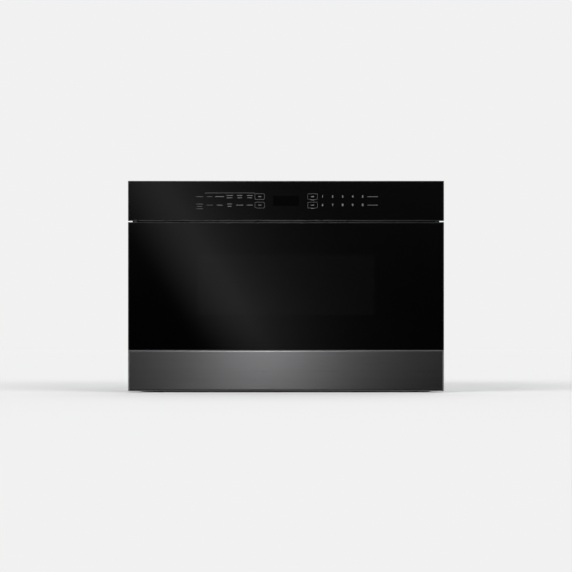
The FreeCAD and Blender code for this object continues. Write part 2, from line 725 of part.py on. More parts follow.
def stirrer():
    """Four metal blades, each with a folded end, on a hub and the shaft that hangs from the motor."""
    z0, z1 = Z_STIRRER, Z_STIRRER + STIRRER_T
    shaft_top = Z_GUIDE + GUIDE_H + STIRRER_MOTOR_H - STIRRER_MOTOR_ROOF - 2 * SHAFT_GAP
    pieces = [
        rod(STIRRER_HUB_R, (0, Y_COOK, z0), (0, Y_COOK, z1)),
        rod(STIRRER_SHAFT_R, (0, Y_COOK, z0 - STIRRER_COLLAR_H), (0, Y_COOK, shaft_top)),
        rod(STIRRER_COLLAR_R, (0, Y_COOK, z1), (0, Y_COOK, z1 + STIRRER_COLLAR_H)),
    ]
    shoulder, nose = STIRRER_R - BLADE_TIP_CUT, STIRRER_R - BLADE_NOSE_CUT
    outline = [
        (BLADE_ROOT_X, -BLADE_ROOT_HALF_W), (shoulder, -BLADE_TIP_HALF_W), (nose, 0),
        (shoulder, BLADE_TIP_HALF_W), (BLADE_ROOT_X, BLADE_ROOT_HALF_W),
    ]
    arm = extruded([Vector(u, v, z0) for u, v in outline], Vector(0, 0, STIRRER_T))
    fold = block(FOLD_START, STIRRER_R - FOLD_END_CUT, -FOLD_OUT, -FOLD_OUT + STIRRER_T, z0 - FOLD_H, z1)
    for turn in range(4):
        blade = fused([arm, fold])
        blade.translate(Vector(0, Y_COOK, 0))
        blade.rotate(Vector(0, Y_COOK, 0), Vector(0, 0, 1), 90.0 * turn + STIRRER_REST_ANGLE)
        pieces.append(blade)
    return fused(pieces)


# ---------------------------------------------------------------- the magnetron and its supply
Z_MAGNETRON = Z_GUIDE - MAGNETRON_H
YOKE_T = 1.6
STEM_R = 12.0
STEM_OUT = 6.0
FILTER_HALF_W = 30.0
FILTER_HALF_D = 26.0
FILTER_H = 28.0
FILTER_T = 1.5
FILTER_CORNER_R = 3.0
PLUG_L = 14.0
PLUG_HALF_W = 12.0
PLUG_H = 16.0
PLUG_LIFT = 4.0
ANODE_R = 20.0
MAGNET_R = 27.0
MAGNET_H = 14.0
ANTENNA_RATIO = 0.55
FIN_MARGIN = 22.0
FIN_SIDE_GAP = 2.0
FIN_T = 0.8
TRANSFORMER_Y = (Y_CAVITY_BACK + Y_BACK_PANEL) / 2
LEG_RATIO = 0.17
CORE_FOOT_T = 2.0
CORE_EAR = 10.0
CORE_EAR_HOLE_R = 2.6
WINDING_SPLIT_RATIO = 0.42
WINDING_ROUND_RATIO = 0.8
CAPACITOR_OUT = 108.0
CAPACITOR_HALF_W = 26.0
CAPACITOR_HALF_D = 16.0
CAPACITOR_END_R = 15.5
CAPACITOR_H = 82.0
CAPACITOR_LIP = 1.0
CAPACITOR_LIP_H = 4.0
TERMINAL_X = 12.0
TERMINAL_R = 4.5
TERMINAL_H = 6.0
BLADE_HALF_W = 3.0
BLADE_HALF_T = 0.4
BLADE_H = 9.0


def magnetron_yoke():
    """The magnetron's steel yoke, with the closed box for the heater's chokes under it."""
    x, y, h, my = MAGNETRON_W / 2, MAGNETRON_D / 2, YOKE_T, MAGNETRON_Y
    z0, z1 = Z_MAGNETRON, Z_GUIDE
    fx, fy = FILTER_HALF_W, FILTER_HALF_D
    box = rounded_block(-fx, fx, my - fy, my + fy, z0 - FILTER_H, z0, FILTER_CORNER_R, Vector(0, 0, 1))
    hx, hy = fx - FILTER_T, fy - FILTER_T
    plug_z = z0 - FILTER_H + PLUG_LIFT
    shape = fused([
        block(-x, x, my - y, my + y, z1 - h, z1),
        block(-x, x, my - y, my + y, z0, z0 + h),
        *both_sides(block(x - h, x, my - y, my + y, z0, z1)),
        box.cut(block(-hx, hx, my - hy, my + hy, z0 - FILTER_H + FILTER_T, z0)),
        block(-fx - PLUG_L, -fx, my - PLUG_HALF_W, my + PLUG_HALF_W, plug_z, plug_z + PLUG_H),
    ])
    return shape.cut([
        rod(ANTENNA_R + SEAT, (0, my, z1 - h - 1), (0, my, z1 + 1)),
        rod(STEM_R + SEAT, (0, my, z0 - 1), (0, my, z0 + h + 1)),
    ])


def magnetron_tube():
    """The anode with its antenna, which stands up into the duct, and the magnets round its ends."""
    my, low, high = MAGNETRON_Y, Z_MAGNETRON + YOKE_T + SEAT, Z_GUIDE - YOKE_T - SEAT
    return fused([
        rod(ANODE_R, (0, my, low + MAGNET_H), (0, my, high - MAGNET_H)),
        rod(MAGNET_R, (0, my, high - MAGNET_H), (0, my, high)),
        rod(MAGNET_R, (0, my, low), (0, my, low + MAGNET_H)),
        rod(ANTENNA_R, (0, my, high), (0, my, Z_GUIDE + GUIDE_H * ANTENNA_RATIO)),
        rod(STEM_R, (0, my, Z_MAGNETRON - STEM_OUT), (0, my, low)),
    ])


def magnetron_fins():
    """The thin aluminium plates that cool the anode."""
    my, low, high = MAGNETRON_Y, Z_MAGNETRON + FIN_MARGIN, Z_GUIDE - FIN_MARGIN
    x, y = MAGNETRON_W / 2 - YOKE_T - SEAT, MAGNETRON_D / 2 - FIN_SIDE_GAP
    fins = []
    for i in range(FIN_COUNT):
        z = low + (high - low) * i / (FIN_COUNT - 1)
        plate = block(-x, x, my - y, my + y, z, z + FIN_T)
        fins.append(plate.cut(rod(ANODE_R + SEAT, (0, my, z - 1), (0, my, z + FIN_T + 1))))
    return group(fins)


def core_window():
    """The width of the core's middle and outer legs, and of each window between them."""
    leg = CORE_W * LEG_RATIO
    return leg, (CORE_W - 4 * leg) / 2


def transformer_core():
    """The laminated core with its two windows, on a foot plate."""
    x, y, z = TRANSFORMER_X, TRANSFORMER_Y, Z_BASE_TOP + SEAT / 2
    leg, window_w = core_window()
    half_w, y0, y1 = CORE_W / 2, y - CORE_D / 2, y + CORE_D / 2
    low = z + CORE_FOOT_T
    core = block(x - half_w, x + half_w, y0, y1, low, z + CORE_H)
    windows = [
        block(a, a + window_w, y0 - 1, y1 + 1, low + leg, z + CORE_H - leg)
        for a in (x - leg - window_w, x + leg)
    ]
    foot = block(x - half_w - CORE_EAR, x + half_w + CORE_EAR, y0, y1, z, low)
    holes = [
        rod(CORE_EAR_HOLE_R, (ear_x, y, z - 1), (ear_x, y, low + 1))
        for ear_x in (x - half_w - CORE_EAR / 2, x + half_w + CORE_EAR / 2)
    ]
    return fused([core, foot]).cut([*windows, *holes])


def transformer_windings():
    """The primary and the high-voltage winding, one above the other on the core's middle leg."""
    x, y, z = TRANSFORMER_X, TRANSFORMER_Y, Z_BASE_TOP + SEAT / 2
    leg, window_w = core_window()
    low, high = z + CORE_FOOT_T + leg + SEAT, z + CORE_H - leg - SEAT
    split = low + (high - low) * WINDING_SPLIT_RATIO
    out_x, out_y = leg + window_w - SEAT, CORE_D / 2 + window_w - SEAT
    in_x, in_y = leg + SEAT, CORE_D / 2 + SEAT
    corner_r = window_w * WINDING_ROUND_RATIO
    coils = []
    for z0, z1 in ((low, split - SEAT), (split + SEAT, high)):
        coil = rounded_block(x - out_x, x + out_x, y - out_y, y + out_y, z0, z1, corner_r, Vector(0, 0, 1))
        coils.append(coil.cut(block(x - in_x, x + in_x, y - in_y, y + in_y, z0 - 1, z1 + 1)))
    return group(coils)


def capacitor():
    """The oval high-voltage capacitor, with a seamed lip and two tab terminals."""
    x, y, z0 = TRANSFORMER_X + CAPACITOR_OUT, TRANSFORMER_Y, Z_BASE_TOP + SEAT / 2
    z1 = z0 + CAPACITOR_H

    def form(grow, low, high):
        half_w, half_d = CAPACITOR_HALF_W + grow, CAPACITOR_HALF_D + grow
        return rounded_block(x - half_w, x + half_w, y - half_d, y + half_d, low, high,
                             CAPACITOR_END_R + grow, Vector(0, 0, 1))

    pieces = [form(0.0, z0, z1), form(CAPACITOR_LIP, z1 - CAPACITOR_LIP_H, z1)]
    for tx in (x - TERMINAL_X, x + TERMINAL_X):
        top = z1 + TERMINAL_H
        pieces.append(rod(TERMINAL_R, (tx, y, z1), (tx, y, top)))
        pieces.append(block(tx - BLADE_HALF_W, tx + BLADE_HALF_W, y - BLADE_HALF_T, y + BLADE_HALF_T,
                            top, top + BLADE_H))
    return fused(pieces)


# ---------------------------------------------------------------- cooling fan and lamp
Y_FAN = Y_CASE_END - 2 * SEAT - FAN_DEPTH
FAN_CORNER_R = 6.0
FAN_TIP_GAP = 2.0
FAN_ARM_T = 3.0
FAN_ARM_HALF_W = 4.0
FAN_ARM_REACH = 61.0
FAN_ARM_ANGLE = 45.0
FAN_SHAFT_WAY_R = 3.5
FAN_HOLE_INSET = 8.0
FAN_HOLE_R = 2.2
FAN_FOOT_INSET = 8.0
FAN_FOOT_EDGE = 4.0
FAN_MOTOR_R = 20.0
FAN_NOSE_R = 16.0
FAN_TAIL_R = 14.0
FAN_NOSE_L = 6.0
FAN_STACK_L = 16.0
FAN_TAIL_L = 10.0
FAN_STACK_HALF_W = 24.0
FAN_STACK_LOW = 30.0
FAN_COIL_HALF_W = 15.0
FAN_COIL_L = 28.0
FAN_COIL_H = 20.0
FAN_COIL_CORNER_R = 6.0
FAN_BORE_L = 20.0
FAN_SHAFT_IN = 18.0
FAN_HUB_ROUND_R = 4.0
FAN_BLADE_ROOT = 2.0
FAN_BLADE_END = 1.0
LAMP_OUT = 28.0
LAMP_PLATE_T = 1.0
LAMP_PLATE_HALF_D = 34.0
LAMP_PLATE_LOW = 24.0
LAMP_PLATE_HIGH = 40.0
LAMP_SHELF_W = 50.0
LAMP_SHELF_HALF_D = 24.0
SOCKET_R = 13.0
SOCKET_LOW = 18.0
SOCKET_BORE_R = 7.2
SOCKET_BORE_TOP = 34.0
BULB_R = 11.0
BULB_Z = 6.0
BULB_CAP_R = 7.0
BULB_CAP_LOW = 14.0


def fan_frame():
    """The square frame behind the inlet, with a round bore and four arms to the motor."""
    half = FAN_FRAME / 2
    y0, y1 = Y_FAN, Y_FAN + FAN_DEPTH
    body = rounded_block(FAN_X - half, FAN_X + half, y0, y1, FAN_Z - half, FAN_Z + half, FAN_CORNER_R,
                         Vector(0, 1, 0))
    bore = rod(FAN_R + FAN_TIP_GAP, (FAN_X, y0 - 1, FAN_Z), (FAN_X, y1 + 1, FAN_Z))
    arms = []
    arm_root, arm_w = FAN_MOTOR_R - FAN_TIP_GAP, FAN_ARM_HALF_W
    for turn in range(4):
        arm = block(arm_root, FAN_ARM_REACH, y0 - FAN_ARM_T, y0, -arm_w, arm_w)
        arm.rotate(Vector(0, 0, 0), Vector(0, 1, 0), 90.0 * turn + FAN_ARM_ANGLE)
        arm.translate(Vector(FAN_X, 0, FAN_Z))
        arms.append(arm)
    seat = rod(FAN_MOTOR_R, (FAN_X, y0 - FAN_ARM_T, FAN_Z), (FAN_X, y0, FAN_Z))
    shaft = rod(FAN_SHAFT_WAY_R, (FAN_X, y0 - FAN_ARM_T - 1, FAN_Z), (FAN_X, y0 + 1, FAN_Z))
    out = half - FAN_HOLE_INSET
    holes = [
        rod(FAN_HOLE_R, (x, y0 - 1, z), (x, y1 + 1, z))
        for x in (FAN_X - out, FAN_X + out) for z in (FAN_Z - out, FAN_Z + out)
    ]
    foot_x = half - FAN_FOOT_INSET
    foot = block(FAN_X - foot_x, FAN_X + foot_x, y0 + FAN_FOOT_EDGE, y1 - FAN_FOOT_EDGE,
                 Z_BASE_TOP + SEAT / 2, FAN_Z - half)
    ring = fused([body, foot]).cut([bore, *holes])
    return fused([ring, *arms, seat]).cut(shaft)


def fan_motor():
    """The fan's motor on the inner side of its frame: a laminated stack with one coil."""
    y1 = Y_FAN - FAN_ARM_T - SEAT
    stack_y1 = y1 - FAN_NOSE_L
    stack_y0 = stack_y1 - FAN_STACK_L
    low = FAN_Z - FAN_STACK_LOW
    stack = block(FAN_X - FAN_STACK_HALF_W, FAN_X + FAN_STACK_HALF_W, stack_y0, stack_y1, low,
                  FAN_Z + FAN_STACK_HALF_W)
    nose = rod(FAN_NOSE_R, (FAN_X, stack_y1, FAN_Z), (FAN_X, y1, FAN_Z))
    tail = rod(FAN_TAIL_R, (FAN_X, stack_y0 - FAN_TAIL_L, FAN_Z), (FAN_X, stack_y0, FAN_Z))
    coil = rounded_block(FAN_X - FAN_COIL_HALF_W, FAN_X + FAN_COIL_HALF_W, y1 - FAN_COIL_L, y1,
                         low - FAN_COIL_H, low, FAN_COIL_CORNER_R, Vector(0, 0, 1))
    bore = rod(FAN_SHAFT_R + SHAFT_PLAY, (FAN_X, y1 - FAN_BORE_L, FAN_Z), (FAN_X, y1 + 1, FAN_Z))
    return fused([stack, nose, tail, coil]).cut(bore)


def fan_blade():
    """Five pitched blades on a domed hub with its steel shaft."""
    y0, y1 = Y_FAN + FAN_PLAY, Y_FAN + FAN_DEPTH - FAN_PLAY
    hub = rod(FAN_HUB_R, (FAN_X, y0, FAN_Z), (FAN_X, y1, FAN_Z))
    hub = hub.makeFillet(FAN_HUB_ROUND_R, round_edges(hub, lambda m: m.y > y1 - 1))
    shaft = rod(FAN_SHAFT_R, (FAN_X, Y_FAN - FAN_SHAFT_IN, FAN_Z), (FAN_X, y0, FAN_Z))
    pieces = [hub, shaft]
    chord = (y1 - y0 - FAN_PLAY) / math.sin(math.radians(FAN_PITCH))
    root, tip, half_t = FAN_HUB_R - FAN_BLADE_ROOT, FAN_R - FAN_BLADE_END, FAN_BLADE_T / 2
    for i in range(FAN_BLADES):
        blade = block(root, tip, -half_t, half_t, -chord / 2, chord / 2)
        blade.rotate(Vector(0, 0, 0), Vector(1, 0, 0), FAN_PITCH)
        blade = blade.common(rod(FAN_R, (0, -FAN_DEPTH, 0), (0, FAN_DEPTH, 0)))
        blade.rotate(Vector(0, 0, 0), Vector(0, 1, 0), 360.0 / FAN_BLADES * i)
        blade.translate(Vector(FAN_X, (y0 + y1) / 2, FAN_Z))
        pieces.append(blade)
    return fused(pieces)


def lamp_holder():
    """The bracket and socket that hold the lamp outside the cavity's pierced wall."""
    x0, top = CAVITY_X + CAVITY_T + SEAT / 2, LAMP_Z + LAMP_PLATE_HIGH
    x, shelf_z = x0 + LAMP_OUT, top - LAMP_PLATE_T
    plate = block(x0, x0 + LAMP_PLATE_T, LAMP_Y - LAMP_PLATE_HALF_D, LAMP_Y + LAMP_PLATE_HALF_D,
                  LAMP_Z + LAMP_PLATE_LOW, top)
    shelf = block(x0, x0 + LAMP_SHELF_W, LAMP_Y - LAMP_SHELF_HALF_D, LAMP_Y + LAMP_SHELF_HALF_D, shelf_z, top)
    socket = rod(SOCKET_R, (x, LAMP_Y, LAMP_Z + SOCKET_LOW), (x, LAMP_Y, shelf_z))
    bore = rod(SOCKET_BORE_R, (x, LAMP_Y, LAMP_Z + SOCKET_LOW - 1), (x, LAMP_Y, LAMP_Z + SOCKET_BORE_TOP))
    return fused([plate, shelf, socket]).cut(bore)


def lamp_bulb():
    """A small glass bulb on its metal cap, hanging in the socket."""
    x, cap_top = CAVITY_X + CAVITY_T + SEAT / 2 + LAMP_OUT, LAMP_Z + SOCKET_BORE_TOP - SEAT
    cap = rod(BULB_CAP_R, (x, LAMP_Y, LAMP_Z + BULB_CAP_LOW), (x, LAMP_Y, cap_top))
    return fused([cap, Part.makeSphere(BULB_R, Vector(x, LAMP_Y, LAMP_Z + BULB_Z))])


# ---------------------------------------------------------------- electronics
BOARD_T = 1.6
BOARD_W = 90.0
BOARD_D = 180.0
BOARD_OUT = 12.0
BOARD_SET_BACK = 160.0
BOARD_X = -(MOUNT_X + CASE_X) / 2 - BOARD_OUT
BOARD_Y = Y_CHASSIS + BOARD_SET_BACK
POST_INSET = 2.0
RELAY_COUNT = 4
RELAY_X = 54.0
RELAY_Y = 18.0
RELAY_PITCH = 26.0
RELAY_W = 28.0
RELAY_D = 20.0
RELAY_H = 16.0
SUPPLY_X = 10.0
SUPPLY_Y = 20.0
SUPPLY_W = 36.0
SUPPLY_D = 42.0
SUPPLY_H = 30.0
SOCKET_COUNT = 4
SOCKET_X = 12.0
SOCKET_Y = 88.0
SOCKET_PITCH = 18.0
SOCKET_W = 8.0
SOCKET_D = 12.0
SOCKET_H = 10.0
FUSE_X = 58.0
FUSE_Y = 130.0
FUSE_W = 7.0
FUSE_L = 30.0
FUSE_H = 8.0
BIG_CAN_X = 36.0
BIG_CAN_Y = 90.0
BIG_CAN_R = 8.0
BIG_CAN_H = 22.0
SMALL_CAN_Y = 114.0
SMALL_CAN_R = 6.0
SMALL_CAN_H = 16.0
COIL_X = 38.0
COIL_Y = 144.0
COIL_R = 11.0
COIL_H = 12.0


def post_places():
    """The four pressed posts under the power board's corners."""
    reach_x, reach_y = BOARD_W / 2 - POST_R - POST_INSET, BOARD_D / 2 - POST_R - POST_INSET
    return [(BOARD_X + a * reach_x, BOARD_Y + b * reach_y) for a in (-1, 1) for b in (-1, 1)]


def power_board():
    """The circuit board with its relays, small transformer, sockets, fuse, capacitors and filter coil."""
    z0 = Z_BASE_TOP + POST_H + SEAT / 2
    top, x0, y0 = z0 + BOARD_T, BOARD_X - BOARD_W / 2, BOARD_Y - BOARD_D / 2

    def part(x, y, width, depth, height):
        return block(x0 + x, x0 + x + width, y0 + y, y0 + y + depth, top, top + height)

    def can(x, y, radius, height):
        return rod(radius, (x0 + x, y0 + y, top), (x0 + x, y0 + y, top + height))

    return fused([
        block(x0, x0 + BOARD_W, y0, y0 + BOARD_D, z0, top),
        *[part(RELAY_X, RELAY_Y + RELAY_PITCH * i, RELAY_W, RELAY_D, RELAY_H) for i in range(RELAY_COUNT)],
        part(SUPPLY_X, SUPPLY_Y, SUPPLY_W, SUPPLY_D, SUPPLY_H),
        *[
            part(SOCKET_X, SOCKET_Y + SOCKET_PITCH * i, SOCKET_W, SOCKET_D, SOCKET_H)
            for i in range(SOCKET_COUNT)
        ],
        part(FUSE_X, FUSE_Y, FUSE_W, FUSE_L, FUSE_H),
        can(BIG_CAN_X, BIG_CAN_Y, BIG_CAN_R, BIG_CAN_H),
        can(BIG_CAN_X, SMALL_CAN_Y, SMALL_CAN_R, SMALL_CAN_H),
        can(COIL_X, COIL_Y, COIL_R, COIL_H),
    ])


# ---------------------------------------------------------------- the control panel
PANEL_EDGE = TRIM_T + SEAT
HOUSING_T = 2.5
HOUSING_X = HALF_W - PANEL_EDGE
HOUSING_RIB_T = 2.0
HOUSING_RIB_GAP = 3.0
LEAD_INSET = 137.5
LEAD_LIFT = 30.0
LEAD_R = 9.0
TOUCH_T = 1.6
TOUCH_W = 460.0
TOUCH_H = 56.0
DISPLAY_RIM = 3.0
DISPLAY_RECESS = 0.6
CHIP_W = 14.0
CHIP_T = 1.8
LEAD_PLUG_W = 24.0
LEAD_PLUG_D = 7.0
LEAD_PLUG_H = 8.0
LEAD_PLUG_LEFT = 160.0
LEAD_PLUG_RIGHT = 150.0
BUMPER_W = 5.2
BUMPER_D = 10.0
BUMPER_SET_BACK = 3.0
BUMPER_GAP = 0.8
BUMPER_CORNER_R = 2.0


def control_trim():
    """The thin metal edge round the control glass."""
    y0, y1 = Y_GLASS, Y_GLASS + TRIM_D
    outer = rounded_block(-HALF_W, HALF_W, y0, y1, Z_CONTROL, Z_TOP, TRIM_CORNER_R, Vector(0, 1, 0))
    inner = block(-HALF_W + TRIM_T, HALF_W - TRIM_T, y0 - 1, y1 + 1, Z_CONTROL + TRIM_T, Z_TOP - TRIM_T)
    return outer.cut(inner)


def glass_pane(z0, z1):
    """A flat pane of the front's width between two heights, with its front edges just rounded."""
    shape = block(-HALF_W + PANEL_EDGE, HALF_W - PANEL_EDGE, Y_GLASS, Y_GLASS_BACK, z0, z1)
    return shape.makeFillet(GLASS_LIP_R, [
        e for e in edges_along(shape, Vector(1, 0, 0)) + edges_along(shape, Vector(0, 0, 1))
        if e.CenterOfMass.y < Y_GLASS + NEAR
    ])


def control_glass():
    """The flat touch glass."""
    return glass_pane(Z_CONTROL + PANEL_EDGE, Z_TOP - PANEL_EDGE)


def control_housing():
    """The plastic box behind the control glass, open at the front."""
    y0, y1 = Y_GLASS_BACK + SEAT / 2, Y_FRAME - SEAT / 2
    z0, z1 = Z_CONTROL + PANEL_EDGE, Z_TOP - PANEL_EDGE
    x, t = HOUSING_X, HOUSING_T
    outer = block(-x, x, y0, y1, z0, z1)
    inner = block(-x + t, x - t, y0 - 1, y1 - t, z0 + t, z1 - t)
    rib_y, half_t = Y_GLASS_BACK + DISPLAY_D + HOUSING_RIB_GAP, HOUSING_RIB_T / 2
    ribs = [
        block(rib_x - half_t, rib_x + half_t, rib_y, y1, z0, z1)
        for rib_x in centred_steps(-x, x, x / 3)
        if abs(rib_x) > DISPLAY_W
    ]
    lead_x, lead_z = -x + LEAD_INSET, z0 + LEAD_LIFT
    lead_way = rod(LEAD_R, (lead_x, y1 - t - 1, lead_z), (lead_x, y1 + 1, lead_z))
    return fused([outer.cut(inner), *ribs]).cut(lead_way)


def display_block(grow, y0, y1):
    """A block of the display's outline, grown all round, in the middle of the panel."""
    half_w, half_h = DISPLAY_W / 2 + grow, DISPLAY_H / 2 + grow
    return block(-half_w, half_w, y0, y1, Z_CONTROL_MID - half_h, Z_CONTROL_MID + half_h)


def control_board():
    """The touch board behind the glass, with the digit display in its middle and a chip on its back."""
    y0, z = Y_GLASS_BACK + SEAT / 2, Z_CONTROL_MID
    back = y0 + TOUCH_T
    sensor = block(-TOUCH_W / 2, TOUCH_W / 2, y0, back, z - TOUCH_H / 2, z + TOUCH_H / 2)
    chip = block(DISPLAY_W, DISPLAY_W + CHIP_W, back, back + CHIP_T, z - CHIP_W / 2, z + CHIP_W / 2)
    plugs = [
        block(x - LEAD_PLUG_W / 2, x + LEAD_PLUG_W / 2, back, back + LEAD_PLUG_D,
              z - LEAD_PLUG_H / 2, z + LEAD_PLUG_H / 2)
        for x in (-LEAD_PLUG_LEFT, LEAD_PLUG_RIGHT)
    ]
    display = display_block(DISPLAY_RIM, y0, y0 + DISPLAY_D)
    return fused([sensor, display, chip, *plugs]).cut(display_block(0.0, y0 - 1, y0 + DISPLAY_RECESS))


def gap_bumpers():
    """Two small buffers under the control panel's edge, just above the drawer."""
    x, y, z1 = HALF_W - BUMPER_INSET, Y_GLASS + BUMPER_SET_BACK, Z_CONTROL - SEAT / 2
    pad = rounded_block(x - BUMPER_W / 2, x + BUMPER_W / 2, y, y + BUMPER_D, z1 - FRONT_GAP + BUMPER_GAP, z1,
                        BUMPER_CORNER_R, Vector(0, 0, 1))
    return group(both_sides(pad))


# ---------------------------------------------------------------- the drawer's front
DOOR_SCREW_SIDE = 12.0
DOOR_SCREW_END = 14.0
BRACKET_SCREW_GAP = 3.0
BRACKET_SCREW_Z = 10.2
COVER_SHY = 0.5
COVER_R = 3.0
COVER_COLLAR_D = 6.0
PANE_GAP = 1.0
PANE_LAP = 4.0


def door_trim():
    """The thin metal edge round the top and sides of the drawer's glass."""
    y0, y1, z0 = Y_GLASS, Y_DOOR_REAR, Z_STRIP_TOP + SEAT
    outer = block(-HALF_W, HALF_W, y0, y1, z0, Z_DRAWER_TOP)
    outer = outer.makeFillet(TRIM_CORNER_R, edges_along(outer, Vector(0, 1, 0), lambda m: m.z > z0 + 1))
    inner = block(-HALF_W + TRIM_T, HALF_W - TRIM_T, y0 - 1, y1 + 1, z0 - 1, Z_DRAWER_TOP - TRIM_T)
    return outer.cut(inner)


def door_glass():
    """The drawer's outer glass."""
    return glass_pane(Z_STRIP_TOP + SEAT, Z_DRAWER_TOP - PANEL_EDGE)


def strip_shell(inset, y_back, radius):
    """The strip's outer form, or the hollow inside it, with its front edges rounded."""
    x = HALF_W - inset
    shape = block(-x, x, Y_STRIP + inset, y_back, Z_FRONT + inset, Z_STRIP_TOP - inset)
    front = [
        e for e in edges_along(shape, Vector(1, 0, 0)) + edges_along(shape, Vector(0, 0, 1))
        if e.CenterOfMass.y < Y_STRIP + inset + NEAR
    ]
    return shape.makeFillet(radius, front)


def lower_strip():
    """The brushed metal panel under the glass, folded back at its four edges."""
    outer = strip_shell(0.0, Y_DOOR_REAR, STRIP_EDGE_R)
    inner = strip_shell(STRIP_T, Y_DOOR_REAR + 1.0, STRIP_EDGE_R - STRIP_T)
    top_cut = block(-HALF_W - 1, HALF_W + 1, Y_GLASS_BACK, Y_DOOR_REAR + 1, Z_STRIP_TOP - STRIP_T - NEAR,
                    Z_STRIP_TOP + 1)
    return outer.cut([inner, top_cut])


def window_hole(y0, y1, grow=0.0):
    return block(-WINDOW_X - grow, WINDOW_X + grow, y0 - 1, y1 + 1, Z_WINDOW - grow, Z_WINDOW_TOP + grow)


def door_frame():
    """The folded steel pan behind the glass and the strip, open to the rear, with the window's opening."""
    outer = block(-DOOR_X, DOOR_X, Y_DOOR, Y_DOOR_REAR - DOOR_T - SEAT, Z_DOOR, Z_DOOR_TOP)
    inner = block(-DOOR_X + DOOR_T, DOOR_X - DOOR_T, Y_DOOR + DOOR_T, Y_DOOR_REAR + 1, Z_DOOR + DOOR_T,
                  Z_DOOR_TOP - DOOR_T)
    return outer.cut([inner, window_hole(Y_DOOR, Y_DOOR + DOOR_T)])


def door_screw_places():
    """Screws through the rim of the door's rear panel."""
    x, low, high = DOOR_X - DOOR_SCREW_SIDE, Z_DOOR + DOOR_SCREW_END, Z_DOOR_TOP - DOOR_SCREW_END
    places = [(x, low), (x, high), (x / 2, low), (x / 2, high)]
    return [(s * px, Y_DOOR_REAR, pz) for s in (-1, 1) for px, pz in places]


def bracket_screw_places():
    """Screws through the foot of the right slide bracket into the door."""
    x = SLIDE_X - BRACKET_T - SCREW_HEAD_R - BRACKET_SCREW_GAP
    return [(x, Y_DOOR_REAR + BRACKET_T, SLIDE_Z + s * BRACKET_SCREW_Z) for s in (-1, 1)]


def rear_panel():
    """The door's rear pressing, with a deep trough round the cavity's mouth that stops the waves.

    Inside the trough is a raised middle, which carries the pan and has the window's opening.
    """
    x, z0, z1 = CHOKE_X, Z_CHOKE, Z_CHOKE_TOP
    rim, floor, wall = Y_CHOKE_RIM, Y_CHOKE_FLOOR, DOOR_T
    mid_x, mid_z0, mid_z1 = CAVITY_X - MID_INSET, Z_CAVITY + MID_INSET, Z_MOUTH_TOP - MID_INSET
    sheet = block(-DOOR_X, DOOR_X, Y_DOOR_REAR - wall, Y_DOOR_REAR, Z_DOOR, Z_DOOR_TOP)
    trough = block(-x, x, floor, rim, z0, z1)
    trough_room = block(-x + wall, x - wall, floor + wall, rim + 1, z0 + wall, z1 - wall)
    lip = block(-x, x, rim - wall, rim, z0, z1).cut(
        block(-x + CHOKE_LIP, x - CHOKE_LIP, rim - wall - 1, rim + 1, z0 + CHOKE_LIP, z1 - CHOKE_LIP)
    )
    middle = block(-mid_x, mid_x, floor, Y_DOOR_REAR, mid_z0, mid_z1)
    middle_room = block(-mid_x + wall, mid_x - wall, floor - 1, Y_DOOR_REAR - wall,
                        mid_z0 + wall, mid_z1 - wall)
    half, y_cut = CHOKE_SLOT_W / 2, (rim - wall - 1, rim + 1)
    teeth = [
        block(p - half, p + half, *y_cut, a, b)
        for p in centred_steps(-x + CHOKE_LIP, x - CHOKE_LIP, CHOKE_PITCH)
        for a, b in ((z0 + wall, z0 + CHOKE_LIP + 1), (z1 - CHOKE_LIP - 1, z1 - wall))
    ]
    teeth += [
        block(a, b, *y_cut, p - half, p + half)
        for p in centred_steps(z0 + CHOKE_LIP, z1 - CHOKE_LIP, CHOKE_PITCH)
        for a, b in ((-x + wall, -x + CHOKE_LIP + 1), (x - CHOKE_LIP - 1, x - wall))
    ]
    bracket = [screw_hole(p, INTO_BACK) for p in bracket_screw_places()]
    places = door_screw_places() + rack_screw_places() + latch_screw_places()
    holes = [screw_hole(p, INTO_BACK) for p in places]
    shape = fused([fused([sheet, trough]).cut(trough_room), lip, middle])
    return without(
        shape, middle_room, teeth, window_hole(Y_DOOR_REAR - wall, Y_DOOR_REAR), holes, bracket,
        [mirrored(h) for h in bracket],
    )


def choke_cover():
    """The plastic ring over the trough, which meets the front frame round the cavity's mouth."""
    y0, y1 = Y_CHOKE_RIM + SEAT / 2, Y_FRAME - RUN
    x, z0, z1 = CHOKE_X - COVER_SHY, Z_CHOKE + COVER_SHY, Z_CHOKE_TOP - COVER_SHY

    def middle(inset, end):
        mid_x = CAVITY_X - inset
        return block(-mid_x, mid_x, Y_DOOR_REAR - COVER_COLLAR_D, end, Z_CAVITY + inset, Z_MOUTH_TOP - inset)

    plate = rounded_block(-x, x, y0, y1, z0, z1, COVER_R, Vector(0, 1, 0))
    inset = MID_INSET - SEAT
    return fused([plate, middle(inset - CHOKE_COVER_T, y1)]).cut(middle(inset, y1 + 1))


def window_screen():
    """The steel screen over the window's opening, on the front side of the choke panel's middle."""
    y1 = Y_DOOR_REAR - DOOR_T - SEAT / 4
    return block(-WINDOW_X - WINDOW_LAP, WINDOW_X + WINDOW_LAP, y1 - SCREEN_T, y1,
                 Z_WINDOW - WINDOW_LAP, Z_WINDOW_TOP + WINDOW_LAP)


def inner_glass():
    """The clear pane on the cooking side of the window, inside the pan's front wall."""
    y0 = Y_PAN + PAN_T + SEAT / 2
    x = PAN_W / 2 - PAN_CORNER_R - PANE_GAP
    return block(-x, x, y0, y0 + INNER_GLASS_T, Z_WINDOW - PANE_LAP, Z_WINDOW_TOP + PANE_LAP)


# ---------------------------------------------------------------- the drawer's pan
TRAY_EDGE_R = 1.0
GLIDE_INSET = 60.0
GLIDE_SET_IN = 14.0
GLIDE_HALF_W = 9.0
GLIDE_L = 50.0
GLIDE_CORNER_R = 6.0


